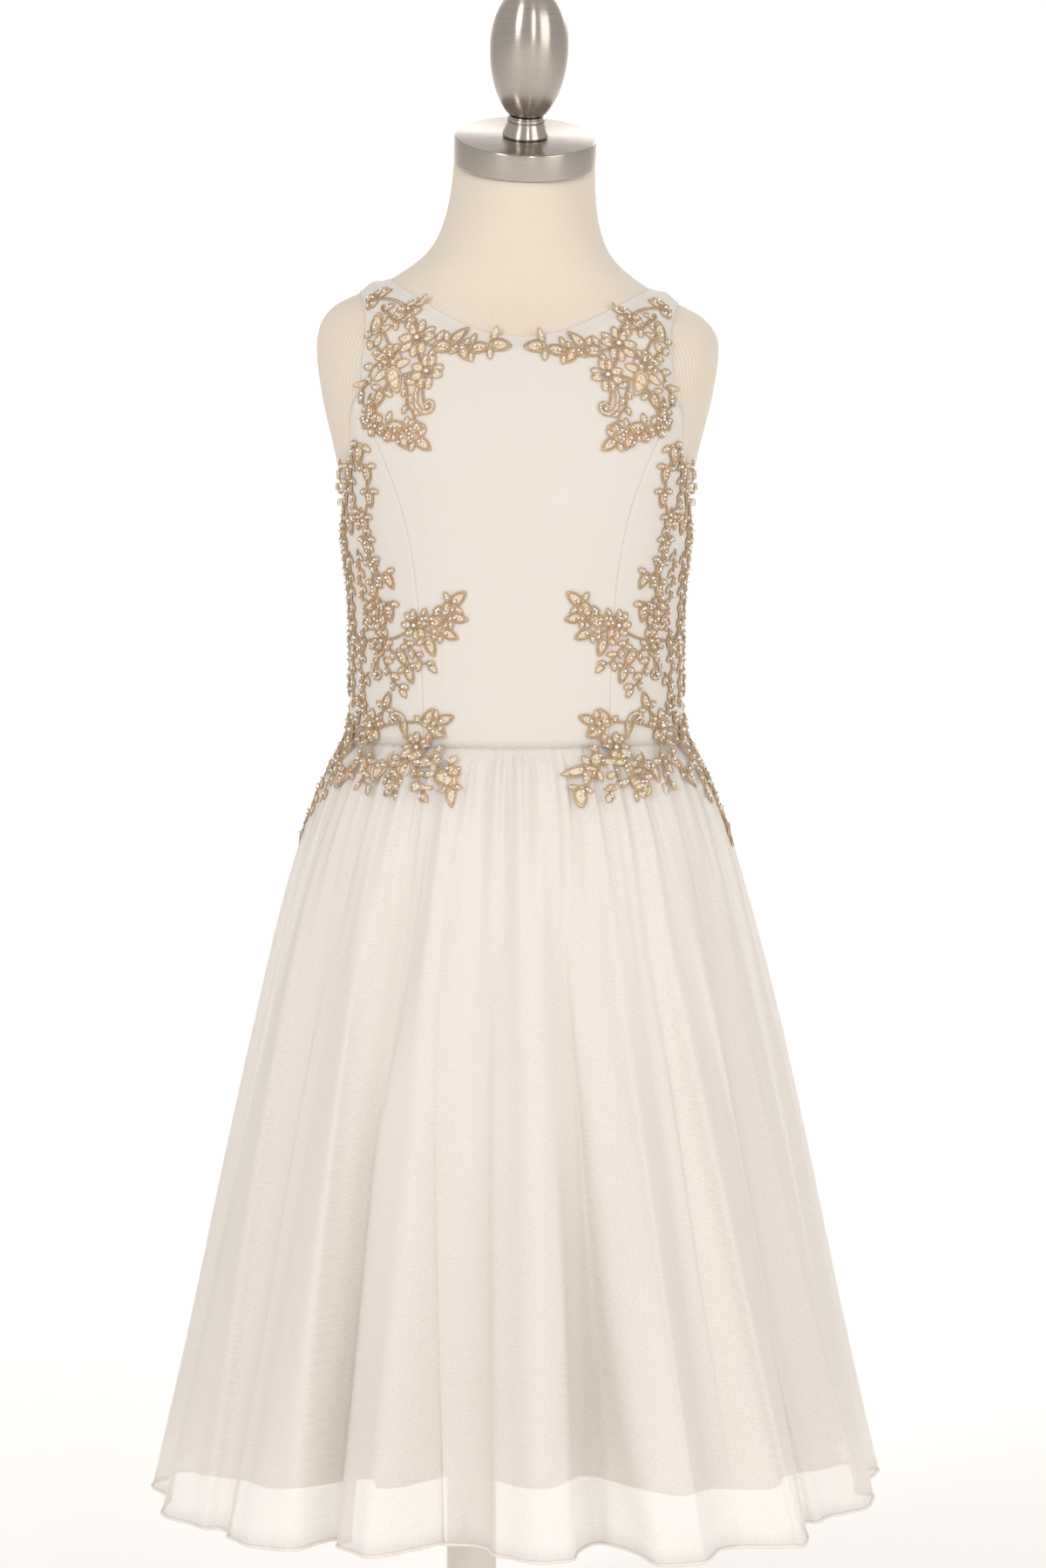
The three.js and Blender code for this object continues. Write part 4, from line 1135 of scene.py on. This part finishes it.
def tilted(point):
    """Matrix of the neck cap's place: its foot's middle, and its axis on the neck's slope."""
    slope = Vector((LEAN, -math.tan(NECK_SLOPE), 1)).normalized()
    turn = Vector((0, 0, 1)).rotation_difference(slope).to_matrix().to_4x4()
    return Matrix.Translation(point) @ turn


def spun(name, profile):
    """Solid turned from a profile of radii and heights in millimetres, about the upright axis."""
    obj = new_mesh(name, [(r * MM, 0, h * MM) for r, h in profile], [])
    obj.data.edges.add(len(profile) - 1)
    for i in range(len(profile) - 1):
        obj.data.edges[i].vertices = (i, i + 1)
    turn = {"steps": 96, "angle": 2 * math.pi, "center": (0, 0, 0), "axis": (0, 0, 1)}
    edit(obj, (bpy.ops.mesh.spin, turn),
         (bpy.ops.mesh.remove_doubles, {"threshold": 1e-6}),
         (bpy.ops.mesh.normals_make_consistent, {"inside": False}))
    return obj


def rounded(profile, edge, steps=3):
    """Profile with its inner corners rounded off by an edge in millimetres, in this many steps."""
    done = [profile[0]]
    for before, here, after in zip(profile, profile[1:], profile[2:]):
        a, b, c = Vector(before), Vector(here), Vector(after)
        cut = min(edge, (a - b).length / 2.2, (c - b).length / 2.2)
        start, end = b + (a - b).normalized() * cut, b + (c - b).normalized() * cut
        for i in range(steps + 1):
            f = i / steps
            done.append(tuple((1 - f) ** 2 * start + 2 * f * (1 - f) * b + f * f * end))
    return done + [profile[-1]]


def finish_turned(obj, matrix, material, node):
    """Puts a turned piece in its place, with its edges kept sharp."""
    obj.data.transform(matrix)
    obj.data.update()
    finish_piece(obj, material, [node], edge=35)


class DRESS_OT_metal(bpy.types.Operator):
    """Makes the neck cap, the collar and the egg of brushed nickel"""

    bl_idname = "dress.metal"
    bl_label = "Neck cap and egg"

    def execute(self, context):
        nickel = nickel_material()
        where = tilted(leaned(*CAP_FOOT) * MM)
        cap = spun("cap_nickel", rounded([(0, 0.3), (47.6, 0.3), (47.6, 18.5), (0, 18.5)], 1.0))
        collar = spun("collar_nickel", rounded([
            (0, 18.8), (15.2, 18.8), (15.6, 20.2), (13.8, 24.3), (12.4, 28.8), (12.9, 29.6), (12.9, 31.2),
            (11.6, 32.2), (11.8, 32.8), (0, 32.8)], 0.5))
        # The egg: its foot, height and greatest radius, the share of the height where it is widest, and the
        # shares that its lower and upper ellipses reach from there
        foot, height, radius, widest, below, above = 33.1, 88.0, 26.2, 0.52, 0.579, 0.48
        start, count = -math.asin(widest / below), 40
        line = []
        for i in range(count):
            angle = start + (math.pi / 2 - start) * i / (count - 1)
            reach = below if angle < 0 else above
            line.append((radius * math.cos(angle), foot + height * (widest + reach * math.sin(angle))))
        side = rounded([(line[0][0] - 1, foot), *line[1:-1]], 0.6)
        egg = spun("egg_nickel", [(0, foot), *side, (0, line[-1][1])])
        for obj, node in ((cap, "neck_cap"), (collar, "finial_collar"), (egg, "finial")):
            finish_turned(obj, where, nickel, node)
        return {"FINISHED"}


# The pole's middle across the form in millimetres, where left is negative
POLE_MIDDLE = -31


class DRESS_OT_stand(bpy.types.Operator):
    """Makes the pole with its socket, and the round base"""

    bl_idname = "dress.stand"
    bl_label = "Pole and base"

    def execute(self, context):
        coated = coated_material()
        middle = Matrix.Translation(Vector((POLE_MIDDLE, 0, 0)) * MM)
        profiles = {
            "socket_coated": ("pole_socket", [
                (0, 505.7), (23, 505.7), (23, 523.7), (39, 523.7), (39, 527.7), (0, 527.7)]),
            "pole_coated": ("pole", [(0, 8.3), (17, 8.3), (17, 505.4), (0, 505.4)]),
            "base_coated": ("base_plate", [(0, 0), (158.5, 0), (160, 1.5), (160, 6), (158, 8), (0, 8)]),
        }
        for name, (node, profile) in profiles.items():
            finish_turned(spun(name, rounded(profile, 0.8)), middle, coated, node)
        return {"FINISHED"}


class DRESS_OT_zip(bpy.types.Operator):
    """Gives the concealed zip its coil, slider and swinging pull"""

    bl_idname = "dress.zip"
    bl_label = "Zip"

    def execute(self, context):
        nylon, nickel = zip_material(), nickel_material()
        chain = copy_of("zip_chain", "zip_tape")
        modify(chain, "BEVEL", width=0.0002, segments=2, limit_method="ANGLE")
        wrap_uv(chain, 0.1)
        finish_piece(chain, nylon, ["zip_chain"])
        coil = self.coil(corners(chain))
        edit(coil, (bpy.ops.mesh.normals_make_consistent, {"inside": False}))
        finish_piece(coil, nylon, edge=0)
        for node, name, body in (("zip_slider", "slider_nickel", BODY), ("zip_pull", "pull_nickel", "pull")):
            obj = copy_of(node, name)
            modify(obj, "BEVEL", width=0.00015, segments=2, limit_method="ANGLE")
            finish_piece(obj, nickel, [node], body, edge=40)
        return {"FINISHED"}

    def coil(self, points):
        """Teeth along the chain's outer face, each a small block that narrows outwards."""
        low, high = points[:, 2].min(), points[:, 2].max()
        pitch, margin = 0.0014, 0.002
        # Corners of a tooth, and how far its foot and its top stand out, in millimetres, each with the share
        # of the corners' width that it has
        shape = [(-0.7, -0.35), (0.7, -0.35), (0.7, 0.35), (-0.7, 0.35)]
        levels = ((-0.3, 1), (0.25, 0.7))
        line = self.outer_line(points)
        teeth, faces = [], []
        for i in range(int((high - low - 2 * margin) / pitch)):
            z = low + margin + i * pitch
            x = points[np.abs(points[:, 2] - z) < 0.02][:, 0].mean()
            y = np.interp(z, *line)
            first = len(teeth)
            for out, narrowed in levels:
                for dx, dz in shape:
                    teeth.append((x + dx * narrowed * MM, y + out * MM, z + dz * narrowed * MM))
            faces += [[first + k for k in face] for face in (
                (0, 1, 2, 3), (7, 6, 5, 4), (0, 4, 5, 1), (1, 5, 6, 2), (2, 6, 7, 3), (3, 7, 4, 0))]
        return new_mesh("zip_coil", teeth, faces)

    @staticmethod
    def outer_line(points):
        """Heights and depths of the chain's outer face, lowest first."""
        heights = np.unique(np.round(points[:, 2], 3))
        return heights, [points[np.abs(points[:, 2] - z) < 0.0015][:, 1].max() for z in heights]


# Stage


class DRESS_OT_stage(bpy.types.Operator):
    """Makes the pale floor and backdrop, the soft lights and the camera"""

    bl_idname = "dress.stage"
    bl_label = "Stage"

    def execute(self, context):
        scene = context.scene
        bpy.ops.object.select_all(action="DESELECT")
        # The paper sweeps up into a wall well behind the dress, so a camera fits in between; in metres
        near, far, curve, top, half = -9.0, 6.2, 1.5, 5.0, 9.0
        profile = [(near, 0.0), (far, 0.0)]
        for a in np.radians(range(10, 91, 10)):
            profile.append((far + curve * math.sin(a), curve - curve * math.cos(a)))
        profile += [(far + curve, top)]
        points = [(x, y, z - 0.001) for y, z in profile for x in (-half, half)]
        faces = [(2 * i, 2 * i + 1, 2 * i + 3, 2 * i + 2) for i in range(len(profile) - 1)]
        floor = new_mesh("studio_paper", points, faces)
        material, _ = plain_material("Studio paper, matt", Base_Color=linear("#FBF9F7"), Roughness=0.95)
        floor.data.materials.append(material)
        only(floor)
        bpy.ops.object.shade_smooth()

        daylight, ambient = linear("#FFFDFB"), 0.64
        world = bpy.data.worlds.new("Studio")
        world.use_nodes = True
        world.node_tree.nodes["Background"].inputs["Color"].default_value = daylight
        world.node_tree.nodes["Background"].inputs["Strength"].default_value = ambient
        scene.world = world
        scene.view_settings.view_transform = "Standard"

        # Where each light stands and points, its width and height in metres and its power in watts
        lights = {
            "key": ((-1.9, -2.7, 2.2), (0, 0, 0.75), (0.6, 2.2), 38),
            "front": ((0.7, -3.4, 1.6), (0, 0, 0.75), (0.25, 2.0), 15),
            "fill": ((2.4, -2.2, 1.3), (0, 0, 0.7), (1.6, 2.2), 23),
            "rim": ((1.2, 2.2, 2.3), (0, 0, 0.8), (1.4, 1.4), 12),
            "backdrop": ((0, 4.6, 3.6), (0, 6.0, 0), (4.5, 4.5), 140),
        }
        for name, (spot, aim, size, power) in lights.items():
            bpy.ops.object.light_add(type="AREA", location=spot)
            light = context.object
            light.name = f"{name}_light"
            light.data.shape = "RECTANGLE"
            light.data.size, light.data.size_y = size
            light.data.energy = power
            light.data.color = daylight[:3]
            light.rotation_euler = (Vector(aim) - Vector(spot)).to_track_quat("-Z", "Y").to_euler()

        # Place in metres, tilt down in degrees and lens in millimetres, as fitted to the picture
        place, tilt, lens = (0.0044, -3.0, 0.946), 5.04, 102.06
        bpy.ops.object.camera_add(location=place)
        camera = context.object
        camera.rotation_euler = (math.radians(90 - tilt), 0, 0)
        camera.data.lens = lens
        camera.data.clip_end = 50
        scene.camera = camera
        return {"FINISHED"}


class DRESS_PT_panel(bpy.types.Panel):
    """Sidebar panel with the dress's sizes, colours and pieces"""

    bl_label = "Dress"
    bl_idname = "DRESS_PT_panel"
    bl_space_type = "VIEW_3D"
    bl_region_type = "UI"
    bl_category = "Dress"

    def draw(self, context):
        for group in (context.scene.dress_cloth, context.scene.dress_lace, context.scene.dress_stand):
            box = self.layout.box()
            for name in group.bl_rna.properties.keys():
                if name not in ("rna_type", "name"):
                    box.prop(group, name)
        for operator in OPERATORS:
            self.layout.operator(operator.bl_idname)


GROUPS = {"dress_cloth": DressCloth, "dress_lace": DressLace, "dress_stand": DressStand}
OPERATORS = [DRESS_OT_stage, DRESS_OT_form, DRESS_OT_bodice, DRESS_OT_lining, DRESS_OT_skirt, DRESS_OT_lace,
             DRESS_OT_zip, DRESS_OT_metal, DRESS_OT_stand]


def register():
    for item in [*GROUPS.values(), *OPERATORS, DRESS_PT_panel]:
        bpy.utils.register_class(item)
    for name, group in GROUPS.items():
        setattr(bpy.types.Scene, name, bpy.props.PointerProperty(type=group))


def unregister():
    for name in GROUPS:
        delattr(bpy.types.Scene, name)
    for item in reversed([*GROUPS.values(), *OPERATORS, DRESS_PT_panel]):
        bpy.utils.unregister_class(item)


def main():
    register()
    bpy.ops.dress.stage()
    bpy.ops.dress.form()
    bpy.ops.dress.bodice()
    bpy.ops.dress.lining()
    bpy.ops.dress.skirt()
    bpy.ops.dress.lace()
    bpy.ops.dress.zip()
    bpy.ops.dress.metal()
    bpy.ops.dress.stand()


if __name__ == "__main__":
    main()
